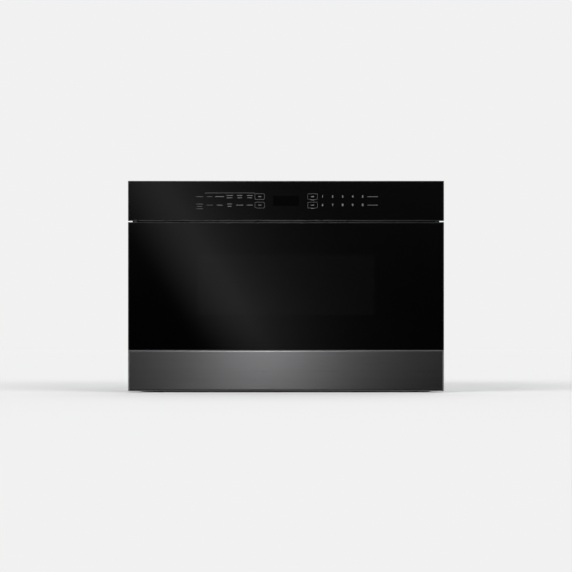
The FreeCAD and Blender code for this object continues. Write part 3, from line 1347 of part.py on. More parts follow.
def pan_form(inset, z0, z1, floor_radius):
    """The pan's outer form or its hollow: rounded upright corners and a rounded floor edge."""
    shape = rounded_block(-PAN_X + inset, PAN_X - inset, Y_PAN + inset, Y_PAN_BACK - inset, z0, z1,
                          PAN_CORNER_R - inset, Vector(0, 0, 1))
    low = [e for e in shape.Edges if abs(e.CenterOfMass.z - z0) < NEAR and len(e.Vertexes) == 2]
    return shape.makeFillet(floor_radius, low)


def drawer_pan():
    """The steel pan that holds the food, with a window in its front wall and a rolled rim."""
    outer = pan_form(0.0, PAN_Z, Z_PAN_TOP, PAN_FLOOR_R)
    hollow = pan_form(PAN_T, PAN_Z + PAN_T, Z_PAN_TOP + 1, PAN_FLOOR_R - PAN_T)
    window = block(-WINDOW_X + WINDOW_LAP, WINDOW_X - WINDOW_LAP, Y_PAN - 1, Y_PAN + PAN_T + 1,
                   Z_WINDOW + WINDOW_LAP / 2, Z_WINDOW_TOP - WINDOW_LAP / 2)
    out = PAN_RIM_W - PAN_T
    rim_z = Z_PAN_TOP - PAN_T
    rim_out = rounded_block(-PAN_X - out, PAN_X + out, Y_PAN, Y_PAN_BACK + out, rim_z, Z_PAN_TOP,
                            PAN_CORNER_R, Vector(0, 0, 1))
    rim = rim_out.cut(rounded_block(-PAN_X + PAN_T, PAN_X - PAN_T, Y_PAN + PAN_T, Y_PAN_BACK - PAN_T,
                                    rim_z - 1, Z_PAN_TOP + 1, PAN_CORNER_R - PAN_T, Vector(0, 0, 1)))
    return fused([outer.cut(hollow), rim]).cut(window)


def glass_tray():
    """The flat ceramic glass plate on the pan's floor."""
    x = PAN_W / 2 - PAN_FLOOR_R - TRAY_GAP
    y0, y1 = Y_PAN + PAN_T + PAN_FLOOR_R + TRAY_GAP, Y_PAN_BACK - PAN_T - PAN_FLOOR_R - TRAY_GAP
    shape = rounded_block(-x, x, y0, y1, Z_TRAY, Z_TRAY + TRAY_T, PAN_CORNER_R, Vector(0, 0, 1))
    top = [e for e in shape.Edges if abs(e.CenterOfMass.z - Z_TRAY - TRAY_T) < NEAR and len(e.Vertexes) == 2]
    return shape.makeFillet(TRAY_EDGE_R, top)


def pan_glides():
    """Two plastic runners under the rear of the pan that slide on the cavity's floor."""
    x, y1 = PAN_X - GLIDE_INSET, Y_PAN_BACK - GLIDE_SET_IN
    pad = rounded_block(x - GLIDE_HALF_W, x + GLIDE_HALF_W, y1 - GLIDE_L, y1,
                        PAN_Z - GLIDE_H, PAN_Z - SEAT / 4, GLIDE_CORNER_R, Vector(0, 0, 1))
    return group(both_sides(pad))


# ---------------------------------------------------------------- telescopic slides, right-hand side
OUTER_LIP_IN = 2.0
MID_LIP_IN = 1.0
MID_SHY = 2.0
CAGE_LIP = 0.8
CAGE_HOLE_GAP = 0.12
MOUNT_SHY = 6.0
GUSSET_H = 50.0
GUSSET_PITCH = 140.0
BRACKET_FOOT = 20.0
X_OUTER_WEB = SLIDE_X + SLIDE_W
X_MID_WEB = X_OUTER_WEB - SLIDE_SHEET - 2 * CAGE_PLAY - CAGE_T
X_INNER_LIP = X_MID_WEB - SLIDE_MID_SHEET - CAGE_T - 2 * CAGE_PLAY + PUSH_FIT
X_BALLS = SLIDE_X + SLIDE_SHEET + BALL_R + BALL_INSET
Y_SLIDE_END = Y_SLIDE + SLIDE_L
CAGE_L = SLIDE_L - TRAVEL / 2 - 2 * CAGE_MARGIN


def channel(x_web, web_t, x_lip, half_h, sheet, y0, y1):
    """A C-shaped channel: a web, and two flat flanges that reach to x_lip."""
    x0, x1 = sorted((x_web, x_lip))
    outer = block(x0, x1, y0, y1, SLIDE_Z - half_h, SLIDE_Z + half_h)
    if x_web > x_lip:
        inner = block(x0 - 1, x1 - web_t, y0 - 1, y1 + 1, SLIDE_Z - half_h + sheet, SLIDE_Z + half_h - sheet)
    else:
        inner = block(x0 + web_t, x1 + 1, y0 - 1, y1 + 1, SLIDE_Z - half_h + sheet, SLIDE_Z + half_h - sheet)
    return outer.cut(inner)


def slides_outer():
    """The fixed member of each slide, riveted to its mount."""
    return group(both_sides(channel(
        X_OUTER_WEB, SLIDE_SHEET, SLIDE_X + OUTER_LIP_IN, SLIDE_H / 2, SLIDE_SHEET, Y_SLIDE, Y_SLIDE_END
    )))


def slides_middle():
    """The member of each slide that runs out half as far as the drawer."""
    return group(both_sides(channel(
        X_MID_WEB, SLIDE_MID_SHEET, SLIDE_X + SLIDE_SHEET + MID_LIP_IN, MID_HALF_H, SLIDE_MID_SHEET,
        Y_SLIDE + MID_SHY, Y_SLIDE_END - MID_SHY
    )))


def slides_inner():
    """The member of each slide that is fixed to the drawer's bracket."""
    return group(both_sides(channel(
        SLIDE_X, SLIDE_SHEET, X_INNER_LIP, INNER_HALF_H, SLIDE_SHEET, Y_SLIDE, Y_SLIDE_END
    )))


def ball_cage(ball_r, ball_z, x_web):
    """A thin C-shaped retainer, middle of the slide, with a row of balls top and bottom."""
    middle = (Y_SLIDE + Y_SLIDE_END) / 2
    y0, y1 = middle - CAGE_L / 2, middle + CAGE_L / 2
    lip_x, half = X_BALLS - ball_r - CAGE_LIP, ball_z + CAGE_T / 2
    sheet = channel(x_web, CAGE_T, lip_x, half, CAGE_T, y0, y1)
    places = [(y, SLIDE_Z + s * ball_z) for y in centred_steps(y0, y1, BALL_PITCH) for s in (-1, 1)]
    hole_r = ball_r + CAGE_HOLE_GAP
    holes = [rod(hole_r, (X_BALLS, y, z - CAGE_T), (X_BALLS, y, z + CAGE_T)) for y, z in places]
    balls = [Part.makeSphere(ball_r, Vector(X_BALLS, y, z)) for y, z in places]
    return [sheet.cut(holes), *balls]


def ball_cages_outer():
    """Balls between the fixed and the middle members, which run out a quarter of the drawer's way."""
    ball_z = MID_HALF_H + BALL_PLAY + BALL_R
    cage = ball_cage(BALL_R, ball_z, X_OUTER_WEB - SLIDE_SHEET - CAGE_PLAY)
    return group(cage + [mirrored(piece) for piece in cage])


def ball_cages_inner():
    """Balls between the middle members and the drawer's, which run out three quarters of the way."""
    ball_z = INNER_HALF_H + BALL_PLAY + SMALL_BALL_R
    cage = ball_cage(SMALL_BALL_R, ball_z, X_MID_WEB - SLIDE_MID_SHEET - CAGE_PLAY)
    return group(cage + [mirrored(piece) for piece in cage])


def slide_mounts():
    """The uprights on the base pan that carry the fixed members."""
    x0, y0, y1 = MOUNT_X + SEAT / 4, Y_SLIDE + MOUNT_SHY, Y_SLIDE_END - MOUNT_SHY
    z0, t = Z_BASE_TOP + SEAT / 2, MOUNT_T
    web = block(x0, x0 + t, y0, y1, z0, SLIDE_Z + SLIDE_H / 2)
    foot = block(x0, x0 + MOUNT_FOOT, y0, y1, z0, z0 + t)
    corners = ((t, t), (MOUNT_FOOT - t, t), (t, GUSSET_H))
    gussets = [
        extruded([Vector(x0 + u, y, z0 + w) for u, w in corners], Vector(0, t, 0))
        for y in centred_steps(y0, y1, GUSSET_PITCH)
    ]
    return group(both_sides(fused([web, foot, *gussets])))


def slide_brackets():
    """The arms that join the drawer's front to the moving slide members."""
    x1 = SLIDE_X - SEAT / 4
    y0, y1 = Y_DOOR_REAR + SEAT / 4, Y_DOOR_REAR + ARM_L
    arm = block(x1 - BRACKET_T, x1, y0, y1, SLIDE_Z - INNER_HALF_H, SLIDE_Z + INNER_HALF_H)
    foot = block(x1 - BRACKET_FOOT, x1, y0, Y_DOOR_REAR + BRACKET_T, SLIDE_Z - BRACKET_Z, SLIDE_Z + BRACKET_Z)
    shape = fused([arm, foot])
    return group(both_sides(without(shape, [screw_hole(p, INTO_BACK) for p in bracket_screw_places()])))


# ---------------------------------------------------------------- the drive
RACK_TEETH_START = 14.0
RACK_FOOT_OUT = 12.0
RACK_FOOT_T = 4.0
RACK_FOOT_LOW = 3.0
RACK_FOOT_HIGH = 6.0
RACK_SCREW_OUT = 6.5
PINION_OVER = 1.0
SHAFT_OUT = 5.0
SHAFT_END_GAP = 0.5
RING_R = 7.5
RING_T = 1.0
RING_GAP = 0.6
GEAR_HOLES = 6
GEAR_HOLE_RING_RATIO = 0.62
GEAR_HOLE_RATIO = 0.17
MOTOR_PINION_OVER = 0.8
MOTOR_SHAFT_TIP = 1.2
MOTOR_SHAFT_IN = 20.0
MOTOR_BORE_L = 24.0
MOTOR_SEAT_RIM = 3.0
MOTOR_TAIL_R = 6.0
MOTOR_TAIL_L = 4.0
CHEEK_FRONT_OVER = 4.0
CHEEK_REAR_OVER = 8.0
CHEEK_TOP_OVER = 10.0
CHEEK_Y0 = PINION_Y - GEAR_PITCH_R - CHEEK_FRONT_OVER
CHEEK_Y1 = MOTOR_Y + MOTOR_PITCH_R + CHEEK_REAR_OVER
CHEEK_TOP = RACK_TOP_Z + CHEEK_TOP_OVER
LUG_W = 14.0
LUG_HOLE_OUT = 7.5
LUG_HOLE_INSET = 12.0
LUG_HOLE_R = 2.3
RACK_GUIDE_HALF_D = 14.0
RACK_GUIDE_LIFT = 2.0


def involute(angle):
    return math.tan(angle) - angle


def gear_outline(module, teeth, backlash, first_tooth):
    """The outline of a spur gear as (u, v) points, with one tooth centred on an angle in degrees."""
    pitch_r, alpha = module * teeth / 2, math.radians(PRESSURE_ANGLE)
    base_r = pitch_r * math.cos(alpha)
    root_r, tip_r = pitch_r - TOOTH_ROOT_RATIO * module, pitch_r + TOOTH_TIP_RATIO * module
    half_pitch = math.pi / 2 / teeth - backlash / 2 / pitch_r
    start_r = max(base_r, root_r)
    flank = []
    steps = 4
    for i in range(steps + 1):
        r = start_r + (tip_r - start_r) * i / steps
        roll = math.acos(min(1.0, base_r / r))
        flank.append((r, half_pitch + involute(alpha) - involute(roll)))
    if root_r < base_r:
        flank.insert(0, (root_r, flank[0][1]))
    points = []
    for tooth in range(teeth):
        centre = math.radians(first_tooth) + 2 * math.pi * tooth / teeth
        side = [(r, centre - a) for r, a in flank] + [(r, centre + a) for r, a in reversed(flank)]
        points += [(r * math.cos(a), r * math.sin(a)) for r, a in side]
    return points


def gear_along_x(module, teeth, backlash, first_tooth, x0, x1, y, z):
    """A spur gear whose axis runs along X. The outline's angle is measured from +Y towards +Z."""
    points = [Vector(x0, y + u, z + v) for u, v in gear_outline(module, teeth, backlash, first_tooth)]
    return extruded(points, Vector(x1 - x0, 0, 0))


def rack():
    """The toothed bar on the door, teeth down, with a foot on the door's rear sheet."""
    pitch, x = math.pi * RACK_MODULE, RACK_W / 2
    slope = math.tan(math.radians(PRESSURE_ANGLE))
    tip_half = pitch / 4 - BACKLASH / 4 - (RACK_Z - RACK_TIP_Z) * slope
    root_half = pitch / 4 - BACKLASH / 4 + (RACK_ROOT_Z - RACK_Z) * slope
    y_front, y_first = Y_DOOR_REAR + SEAT / 4, Y_CHASSIS + RACK_TEETH_START
    outline = [Vector(-x, y_front, RACK_TOP_Z), Vector(-x, y_front, RACK_ROOT_Z)]
    count = int((RACK_REAR_Y - PINION_Y) / pitch)
    first = -int((PINION_Y - y_first) / pitch)
    for i in range(first, count):
        y = PINION_Y + (i + 0.5) * pitch
        outline += [
            Vector(-x, y - root_half, RACK_ROOT_Z), Vector(-x, y - tip_half, RACK_TIP_Z),
            Vector(-x, y + tip_half, RACK_TIP_Z), Vector(-x, y + root_half, RACK_ROOT_Z),
        ]
    outline += [Vector(-x, RACK_REAR_Y, RACK_ROOT_Z), Vector(-x, RACK_REAR_Y, RACK_TOP_Z)]
    bar = extruded(outline, Vector(RACK_W, 0, 0))
    foot = block(-x - RACK_FOOT_OUT, x + RACK_FOOT_OUT, y_front, Y_DOOR_REAR + RACK_FOOT_T,
                 RACK_ROOT_Z - RACK_FOOT_LOW, RACK_TOP_Z + RACK_FOOT_HIGH)
    return without(fused([bar, foot]), [screw_hole(p, INTO_BACK) for p in rack_screw_places()])


def rack_screw_places():
    """One screw each side of the rack in its foot."""
    x = RACK_W / 2 + RACK_SCREW_OUT
    return [(s * x, Y_DOOR_REAR + RACK_FOOT_T, (RACK_ROOT_Z + RACK_TOP_Z) / 2) for s in (-1, 1)]


def along_x(radius, x0, x1, y):
    """A round bar along X at the height of the drive's axes."""
    return rod(radius, (x0, y, PINION_Z), (x1, y, PINION_Z))


def pinion_shaft():
    """The output shaft with its pinion, which drives the rack."""
    left, x = CHEEK_LEFT_X - CHEEK_T, RACK_W / 2 + PINION_OVER
    return fused([
        gear_along_x(RACK_MODULE, PINION_TEETH, BACKLASH, 90.0, -x, x, PINION_Y, PINION_Z),
        along_x(SHAFT_R, left - SHAFT_OUT, GEARCASE_END_X + GEARCASE_T - SHAFT_END_GAP, PINION_Y),
        along_x(RING_R, left - RING_GAP - RING_T, left - RING_GAP, PINION_Y),
    ])


def drive_gear():
    """The large gear on the output shaft, lightened by six holes."""
    x0, x1 = GEAR_X, GEAR_X + GEAR_W
    gear = gear_along_x(GEAR_MODULE, GEAR_TEETH, GEAR_BACKLASH, 90.0, x0, x1, PINION_Y, PINION_Z)
    ring = GEAR_HOLE_RING_RATIO * GEAR_PITCH_R
    holes = []
    for i in range(GEAR_HOLES):
        angle = 2 * math.pi / GEAR_HOLES * i
        y, z = PINION_Y + ring * math.cos(angle), PINION_Z + ring * math.sin(angle)
        holes.append(rod(GEAR_HOLE_RATIO * GEAR_PITCH_R, (x0 - 1, y, z), (x1 + 1, y, z)))
    return gear.cut([along_x(SHAFT_R, x0 - 1, x1 + 1, PINION_Y), *holes])


def motor_pinion():
    """The motor's pinion with its shaft, set so that a space faces the large gear's tooth."""
    gear_pitch = 360.0 / GEAR_TEETH
    above_line = (90.0 % gear_pitch) * GEAR_PITCH_R / MOTOR_PITCH_R
    first = 180.0 - above_line + 180.0 / MOTOR_TEETH
    x0, x1 = GEAR_X - MOTOR_PINION_OVER, GEAR_X + GEAR_W + MOTOR_PINION_OVER
    pinion = gear_along_x(GEAR_MODULE, MOTOR_TEETH, GEAR_BACKLASH, first, x0, x1, MOTOR_Y, PINION_Z)
    shaft_end = GEARCASE_END_X + GEARCASE_T + MOTOR_SHAFT_IN
    return fused([pinion, along_x(MOTOR_SHAFT_R, GEAR_X - MOTOR_SHAFT_TIP, shaft_end, MOTOR_Y)])


def drive_bracket():
    """The folded steel bracket on the base pan: a foot and two cheeks that carry the output shaft."""
    z0 = Z_BASE_TOP + SEAT / 2
    left, right, t = CHEEK_LEFT_X, CHEEK_RIGHT_X, CHEEK_T
    shape = fused([
        block(left - t, right + t, CHEEK_Y0, CHEEK_Y1, z0, z0 + t),
        block(left - t, left, CHEEK_Y0, CHEEK_Y1, z0, CHEEK_TOP),
        block(right, right + t, CHEEK_Y0, CHEEK_Y1, z0, CHEEK_TOP),
        block(left - t - LUG_W, left, CHEEK_Y0, CHEEK_Y1, z0, z0 + t),
    ])
    hole_x = left - t - LUG_HOLE_OUT
    holes = [
        rod(LUG_HOLE_R, (hole_x, y, z0 - 1), (hole_x, y, z0 + t + 1))
        for y in (CHEEK_Y0 + LUG_HOLE_INSET, CHEEK_Y1 - LUG_HOLE_INSET)
    ]
    return shape.cut([along_x(SHAFT_R + SHAFT_PLAY, left - t - 1, right + t + 1, PINION_Y), *holes])


def gearcase():
    """The moulded cup over the gears, on the right cheek, which carries the motor."""
    x0, x1 = CHEEK_RIGHT_X + CHEEK_T + SEAT / 4, GEARCASE_END_X + GEARCASE_T
    room = GEAR_MODULE + GEARCASE_PLAY

    def form(grow, a, b):
        large = along_x(GEAR_PITCH_R + room + grow, a, b, PINION_Y)
        return fused([large, along_x(MOTOR_PITCH_R + room + grow, a, b, MOTOR_Y)])

    motor_seat = along_x(MOTOR_R + MOTOR_SEAT_RIM, x1 - GEARCASE_T, x1, MOTOR_Y)
    return fused([form(GEARCASE_T, x0, x1).cut(form(0.0, x0 - 1, GEARCASE_END_X)), motor_seat]).cut([
        along_x(SHAFT_R + SHAFT_PLAY, x0, x1 + 1, PINION_Y),
        along_x(MOTOR_SHAFT_R + SHAFT_GAP, x0, x1 + 1, MOTOR_Y),
    ])


def drive_motor():
    """The direct-current motor on the end of the gearcase."""
    x0 = GEARCASE_END_X + GEARCASE_T + SEAT / 4
    x1 = x0 + MOTOR_L
    can = along_x(MOTOR_R, x0, x1, MOTOR_Y)
    can = can.makeFillet(CAN_ROUND_R, round_edges(can, lambda m: m.x > x0 + 1))
    tail = along_x(MOTOR_TAIL_R, x1, x1 + MOTOR_TAIL_L, MOTOR_Y)
    return fused([can, tail]).cut(along_x(MOTOR_SHAFT_R + SHAFT_PLAY, x0 - 1, x0 + MOTOR_BORE_L, MOTOR_Y))


def rack_guide():
    """The plastic saddle between the cheeks that holds the rack down on the pinion."""
    y0, y1 = PINION_Y - RACK_GUIDE_HALF_D, PINION_Y + RACK_GUIDE_HALF_D
    x0, x1 = CHEEK_LEFT_X + SEAT / 4, CHEEK_RIGHT_X - SEAT / 4
    way_x = RACK_W / 2 + RUN
    saddle = block(x0, x1, y0, y1, RACK_ROOT_Z + RACK_GUIDE_LIFT, CHEEK_TOP)
    return saddle.cut(block(-way_x, way_x, y0 - 1, y1 + 1, RACK_ROOT_Z, RACK_TOP_Z + RUN))


# ---------------------------------------------------------------- latch fingers and interlock switches
LATCH_TIP_ROUND_R = 1.2
LATCH_FOOT_HALF_W = 8.0
LATCH_FOOT_HALF_H = 15.0
LATCH_SCREW_Z = 9.0
SWITCH_GAP = 1.5
SWITCH_HALF_W = 5.2
SWITCH_L = 26.0
SWITCH_H = 15.0
SWITCH_TAB_HALF_W = 3.0
SWITCH_TAB_L = 7.0
SWITCH_TAB_T = 0.8
SWITCH_TAB_LOW = 3.0
SWITCH_TAB_PITCH = 4.0
PLUNGER_IN = 7.5
PLUNGER_SPARE = 0.5
SWITCH_TRAVEL = 2.0
PLUNGER_R = 1.6
LATCH_FOOT_T = 3.0


def latch_fingers():
    """The two fingers on the door that reach through the front frame to the switches."""
    y0, half_w, half_t = Y_DOOR_REAR + SEAT / 4, LATCH_W / 2, LATCH_T / 2
    stem = block(LATCH_X - half_w, LATCH_X + half_w, y0, LATCH_TIP_Y, LATCH_Z - half_t, LATCH_Z + half_t)
    tip = [e for e in edges_along(stem, Vector(1, 0, 0)) if e.CenterOfMass.y > LATCH_TIP_Y - NEAR]
    foot = block(LATCH_X - LATCH_FOOT_HALF_W, LATCH_X + LATCH_FOOT_HALF_W, y0, Y_DOOR_REAR + LATCH_FOOT_T,
                 LATCH_Z - LATCH_FOOT_HALF_H, LATCH_Z + LATCH_FOOT_HALF_H)
    holes = [screw_hole(p, INTO_BACK) for p in latch_screw_places() if p[0] > 0]
    return group(both_sides(without(fused([stem.makeFillet(LATCH_TIP_ROUND_R, tip), foot]), holes)))


def latch_screw_places():
    """Two screws in each latch finger's foot."""
    y = Y_DOOR_REAR + LATCH_FOOT_T
    return [(s * LATCH_X, y, LATCH_Z + t * LATCH_SCREW_Z) for s in (-1, 1) for t in (-1, 1)]


def switch_body_y():
    return LATCH_TIP_Y + RUN + SWITCH_TRAVEL + SWITCH_GAP


def interlock_switches():
    """The two snap-action switches on the frame's tabs, each bored for its plunger."""
    z0, y0 = switch_shelf_z() + SEAT / 4, switch_body_y()
    y1 = y0 + SWITCH_L
    body = block(LATCH_X - SWITCH_HALF_W, LATCH_X + SWITCH_HALF_W, y0, y1, z0, z0 + SWITCH_H)
    tabs = [
        block(LATCH_X - SWITCH_TAB_HALF_W, LATCH_X + SWITCH_TAB_HALF_W, y1, y1 + SWITCH_TAB_L,
              z, z + SWITCH_TAB_T)
        for z in (z0 + SWITCH_TAB_LOW + SWITCH_TAB_PITCH * i for i in range(3))
    ]
    end = y0 + PLUNGER_IN + SWITCH_TRAVEL + PLUNGER_SPARE
    bore = rod(PLUNGER_R + SHAFT_PLAY, (LATCH_X, y0 - 1, LATCH_Z), (LATCH_X, end, LATCH_Z))
    return group(both_sides(fused([body, *tabs]).cut(bore)))


def switch_plunger():
    """The right switch's plunger, which the latch finger meets as the drawer closes."""
    y0 = LATCH_TIP_Y + RUN
    return rod(PLUNGER_R, (LATCH_X, y0, LATCH_Z), (LATCH_X, switch_body_y() + PLUNGER_IN, LATCH_Z))


def door_screws():
    """The screws in the door's rear panel and in the feet that are fixed to it."""
    bracket = [screw(p, INTO_BACK) for p in bracket_screw_places()]
    places = door_screw_places() + rack_screw_places() + latch_screw_places()
    return group([screw(p, INTO_BACK) for p in places] + bracket + [mirrored(s) for s in bracket])


# ---------------------------------------------------------------- writing the pieces
NODES = {
    "base_pan": base_pan,
    "feet": feet,
    "case_wrapper": case_wrapper,
    "back_panel": back_panel,
    "cord_gland": cord_gland,
    "case_screws": case_screws,
    "front_frame": front_frame,
    "cavity_liner": cavity_liner,
    "stirrer_cover": stirrer_cover,
    "waveguide": waveguide,
    "stirrer_motor": stirrer_motor,
    "stirrer": stirrer,
    "magnetron_yoke": magnetron_yoke,
    "magnetron_tube": magnetron_tube,
    "magnetron_fins": magnetron_fins,
    "transformer_core": transformer_core,
    "transformer_windings": transformer_windings,
    "capacitor": capacitor,
    "fan_frame": fan_frame,
    "fan_motor": fan_motor,
    "fan_blade": fan_blade,
    "lamp_holder": lamp_holder,
    "lamp_bulb": lamp_bulb,
    "power_board": power_board,
    "control_trim": control_trim,
    "control_glass": control_glass,
    "control_housing": control_housing,
    "control_board": control_board,
    "gap_bumpers": gap_bumpers,
    "door_trim": door_trim,
    "door_glass": door_glass,
    "lower_strip": lower_strip,
    "door_frame": door_frame,
    "rear_panel": rear_panel,
    "choke_cover": choke_cover,
    "window_screen": window_screen,
    "inner_glass": inner_glass,
    "door_screws": door_screws,
    "drawer_pan": drawer_pan,
    "glass_tray": glass_tray,
    "pan_glides": pan_glides,
    "slide_mounts": slide_mounts,
    "slides_outer": slides_outer,
    "slides_middle": slides_middle,
    "slides_inner": slides_inner,
    "ball_cages_outer": ball_cages_outer,
    "ball_cages_inner": ball_cages_inner,
    "slide_brackets": slide_brackets,
    "rack": rack,
    "pinion_shaft": pinion_shaft,
    "drive_gear": drive_gear,
    "motor_pinion": motor_pinion,
    "drive_bracket": drive_bracket,
    "gearcase": gearcase,
    "drive_motor": drive_motor,
    "rack_guide": rack_guide,
    "latch_fingers": latch_fingers,
    "interlock_switches": interlock_switches,
    "switch_plunger_right": switch_plunger,
    "switch_plunger_left": lambda: mirrored(switch_plunger()),
}


def main():
    os.makedirs("parts", exist_ok=True)
    for name, make in NODES.items():
        make().exportStep(f"parts/{name}.step")


if __name__ == "__main__":
    main()
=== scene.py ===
"""Looks for a built-in microwave drawer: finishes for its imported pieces, the printed keys, a plain studio."""

import math

import bmesh
import bpy
from bpy.props import FloatProperty, FloatVectorProperty, IntProperty, PointerProperty
from bpy.types import Operator, Panel, PropertyGroup
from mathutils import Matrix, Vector


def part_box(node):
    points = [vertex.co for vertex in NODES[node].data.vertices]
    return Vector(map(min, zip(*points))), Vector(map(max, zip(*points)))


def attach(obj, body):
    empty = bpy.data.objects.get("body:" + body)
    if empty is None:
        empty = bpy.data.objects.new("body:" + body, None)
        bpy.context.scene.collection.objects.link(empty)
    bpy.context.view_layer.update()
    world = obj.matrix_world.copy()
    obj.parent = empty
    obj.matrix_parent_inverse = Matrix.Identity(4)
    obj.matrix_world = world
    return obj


bl_info = {
    "name": "Microwave Drawer",
    "version": (1, 0, 0),
    "blender": (4, 5, 0),
    "location": "View3D > Sidebar > Drawer",
    "description": "Dresses a built-in microwave drawer and sets it in a plain studio",
    "category": "Object",
}

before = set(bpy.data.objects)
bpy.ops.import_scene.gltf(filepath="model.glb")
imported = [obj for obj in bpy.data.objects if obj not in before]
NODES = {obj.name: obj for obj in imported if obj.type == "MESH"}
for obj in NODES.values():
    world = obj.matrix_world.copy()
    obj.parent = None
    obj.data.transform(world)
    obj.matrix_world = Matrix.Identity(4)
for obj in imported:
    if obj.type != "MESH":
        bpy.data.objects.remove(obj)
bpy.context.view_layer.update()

PANEL_LOW, PANEL_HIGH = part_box("control_trim")
SCREEN_LOW, SCREEN_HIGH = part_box("window_screen")
STRIP_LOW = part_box("lower_strip")[0]
FRONT_Y = STRIP_LOW[1]
FRONT_MIDDLE_Z = (STRIP_LOW[2] + PANEL_HIGH[2]) / 2

# The picture's width, and the front's width in it.
PICTURE_PIXELS = 572
FRONT_PIXELS = 316.0


# ---------------------------------------------------------------- settings a user would change
def length(name, description, default):
    return FloatProperty(
        name=name, description=description, default=default, min=0.0, unit="LENGTH", precision=5
    )


def colour(name, description, default):
    return FloatVectorProperty(
        name=name, description=description, default=default, size=3, min=0.0, max=1.0, subtype="COLOR"
    )


def amount(name, description, default, top=1.0):
    return FloatProperty(
        name=name, description=description, default=default, min=0.0, max=top, subtype="FACTOR"
    )


class LegendSettings(PropertyGroup):
    """Sizes of the printing on the control glass."""

    print_depth: length("Print Depth", "How far the printing stands on the glass", 0.00004)
    row_upper: length("Upper Row", "From the panel's top to the upper row of keys", 0.0377)
    row_lower: length("Lower Row", "From the panel's top to the lower row of keys", 0.0581)
    key_pitch: length("Key Pitch", "From one column of keys to the next", 0.0241)
    digit_height: length("Digit Height", "Height of a printed digit", 0.0055)
    box_width: length("Box Width", "Width of a boxed key", 0.0235)
    box_height: length("Box Height", "Height of a boxed key", 0.0142)
    box_radius: length("Box Corner", "Corner radius of a boxed key", 0.0034)
    line_width: length("Line Width", "Width of a box's printed line", 0.00027)
    mark_height: length("Mark Height", "Height of a key's small marks", 0.0012)
    mark_step: length("Mark Step", "From one line of a key's marks to the next", 0.0056)
    bracket_width: length("Bracket Line", "Width of the line over five of the keys", 0.00028)
    display_width: length("Display Width", "Width of the dark display window", 0.0625)
    display_height: length("Display Height", "Height of the dark display window", 0.0240)
    ink: colour("Ink", "Colour of the printing", (0.38, 0.38, 0.39))
    faint_ink: colour("Faint Ink", "Colour of the fainter printing", (0.17, 0.17, 0.175))


class FinishSettings(PropertyGroup):
    """Colours of the finishes."""

    glass: colour("Glass", "Colour under the black glass", (0.0007, 0.0007, 0.0008))
    window: colour("Window", "Colour that shows through the window", (0.0026, 0.0026, 0.0027))
    display: colour("Display", "Colour of the unlit display", (0.0022, 0.0022, 0.0022))
    strip: colour("Strip", "Colour of the brushed strip", (0.19, 0.19, 0.194))
    edge_metal: colour("Edge Metal", "Colour of the thin metal edges", (0.095, 0.095, 0.097))
    zinc: colour("Zinc", "Colour of the galvanised sheet", (0.50, 0.51, 0.52))
    enamel: colour("Enamel", "Colour of the cavity's enamel", (0.52, 0.52, 0.50))
    dark_paint: colour("Dark Paint", "Colour of the door's painted sheet", (0.055, 0.055, 0.058))
    # Nearly black paint on the front frame, made this dark as painted shade for the narrow gaps round the
    # front, where little light reaches
    frame_and_gap_shade_paint: colour("Frame Paint", "Colour of the front frame's paint", (0.012, 0.012, 0.013))
    pan: colour("Pan", "Colour of the pan's satin steel", (0.50, 0.50, 0.50))
    plate: colour("Plate", "Colour of the ceramic glass plate", (0.74, 0.74, 0.72))
    bright_steel: colour("Bright Steel", "Colour of the plated steel", (0.52, 0.52, 0.53))
    brush_depth: amount("Brush Depth", "Strength of the strip's brushed grain", 0.12)


class StudioSettings(PropertyGroup):
    """The camera, the lamps, the floor and the card that the front mirrors."""

    camera_distance: length("Camera Distance", "From the drawer's front to the camera", 9.0)
    side_light: amount("Side Lights", "Strength of the broad light from each side", 1.0, 5.0)
    back_light: amount("Back Light", "Strength of the broad light from behind", 0.45, 5.0)
    column_power: FloatProperty(
        name="Column Lamp", description="Power of the tall lamp for the front's metal",
        default=16.8, unit="POWER",
    )
    world_strength: amount("World", "Strength of the soft light from all round", 0.53, 2.0)
    card_radius: length("Card Radius", "Radius of the dark card round the front", 3.2)
    card_height: length("Card Height", "Height of the dark card", 5.0)
    card_turn: FloatProperty(
        name="Card Turn", description="How far the card bends round to each side",
        default=math.radians(34.0), subtype="ANGLE",
    )
    card_dark: colour("Card Dark", "What the glass mirrors low down", (0.004, 0.004, 0.004))
    card_top: colour("Card Top", "What the glass mirrors higher up", (0.074, 0.074, 0.076))
    card_floor: colour("Card Floor", "What the strip mirrors in the floor before it", (0.75, 0.75, 0.76))
    card_pale: colour("Card Pale", "What the glass mirrors in its pale band", (0.475, 0.475, 0.485))
    floor: colour("Floor", "Colour of the floor", (0.88, 0.88, 0.88))
    background: colour("Background", "Colour of the background", (0.88, 0.88, 0.88))
    card_sides: IntProperty(name="Card Sides", description="Flat sides of the curved card", default=64, min=8)


# ---------------------------------------------------------------- node helpers
def add(tree, kind, inputs=None, **properties):
    """A shader node, with its inputs given as values or as other nodes' sockets."""
    made = tree.nodes.new(kind)
    for name, value in properties.items():
        setattr(made, name, value)
    for name, value in (inputs or {}).items():
        if isinstance(value, bpy.types.NodeSocket):
            tree.links.new(value, made.inputs[name])
        else:
            made.inputs[name].default_value = value
    return made


def opaque(rgb):
    return (rgb[0], rgb[1], rgb[2], 1.0)


def scaled(rgb, factor):
    return tuple(min(1.0, part * factor) for part in rgb)


def material(name, **inputs):
    """A new material with its Principled shader, whose sockets take the values given."""
    made = bpy.data.materials.new(name)
    made.use_nodes = True
    shader = made.node_tree.nodes["Principled BSDF"]
    for socket, value in inputs.items():
        shader.inputs[socket.replace("_", " ")].default_value = value
    return made, made.node_tree, shader


def place(tree, stretch=(1.0, 1.0, 1.0)):
    """The surface's own place in metres, stretched along each axis."""
    here = add(tree, "ShaderNodeTexCoord").outputs["Object"]
    return add(tree, "ShaderNodeMapping", {"Vector": here, "Scale": stretch}).outputs["Vector"]


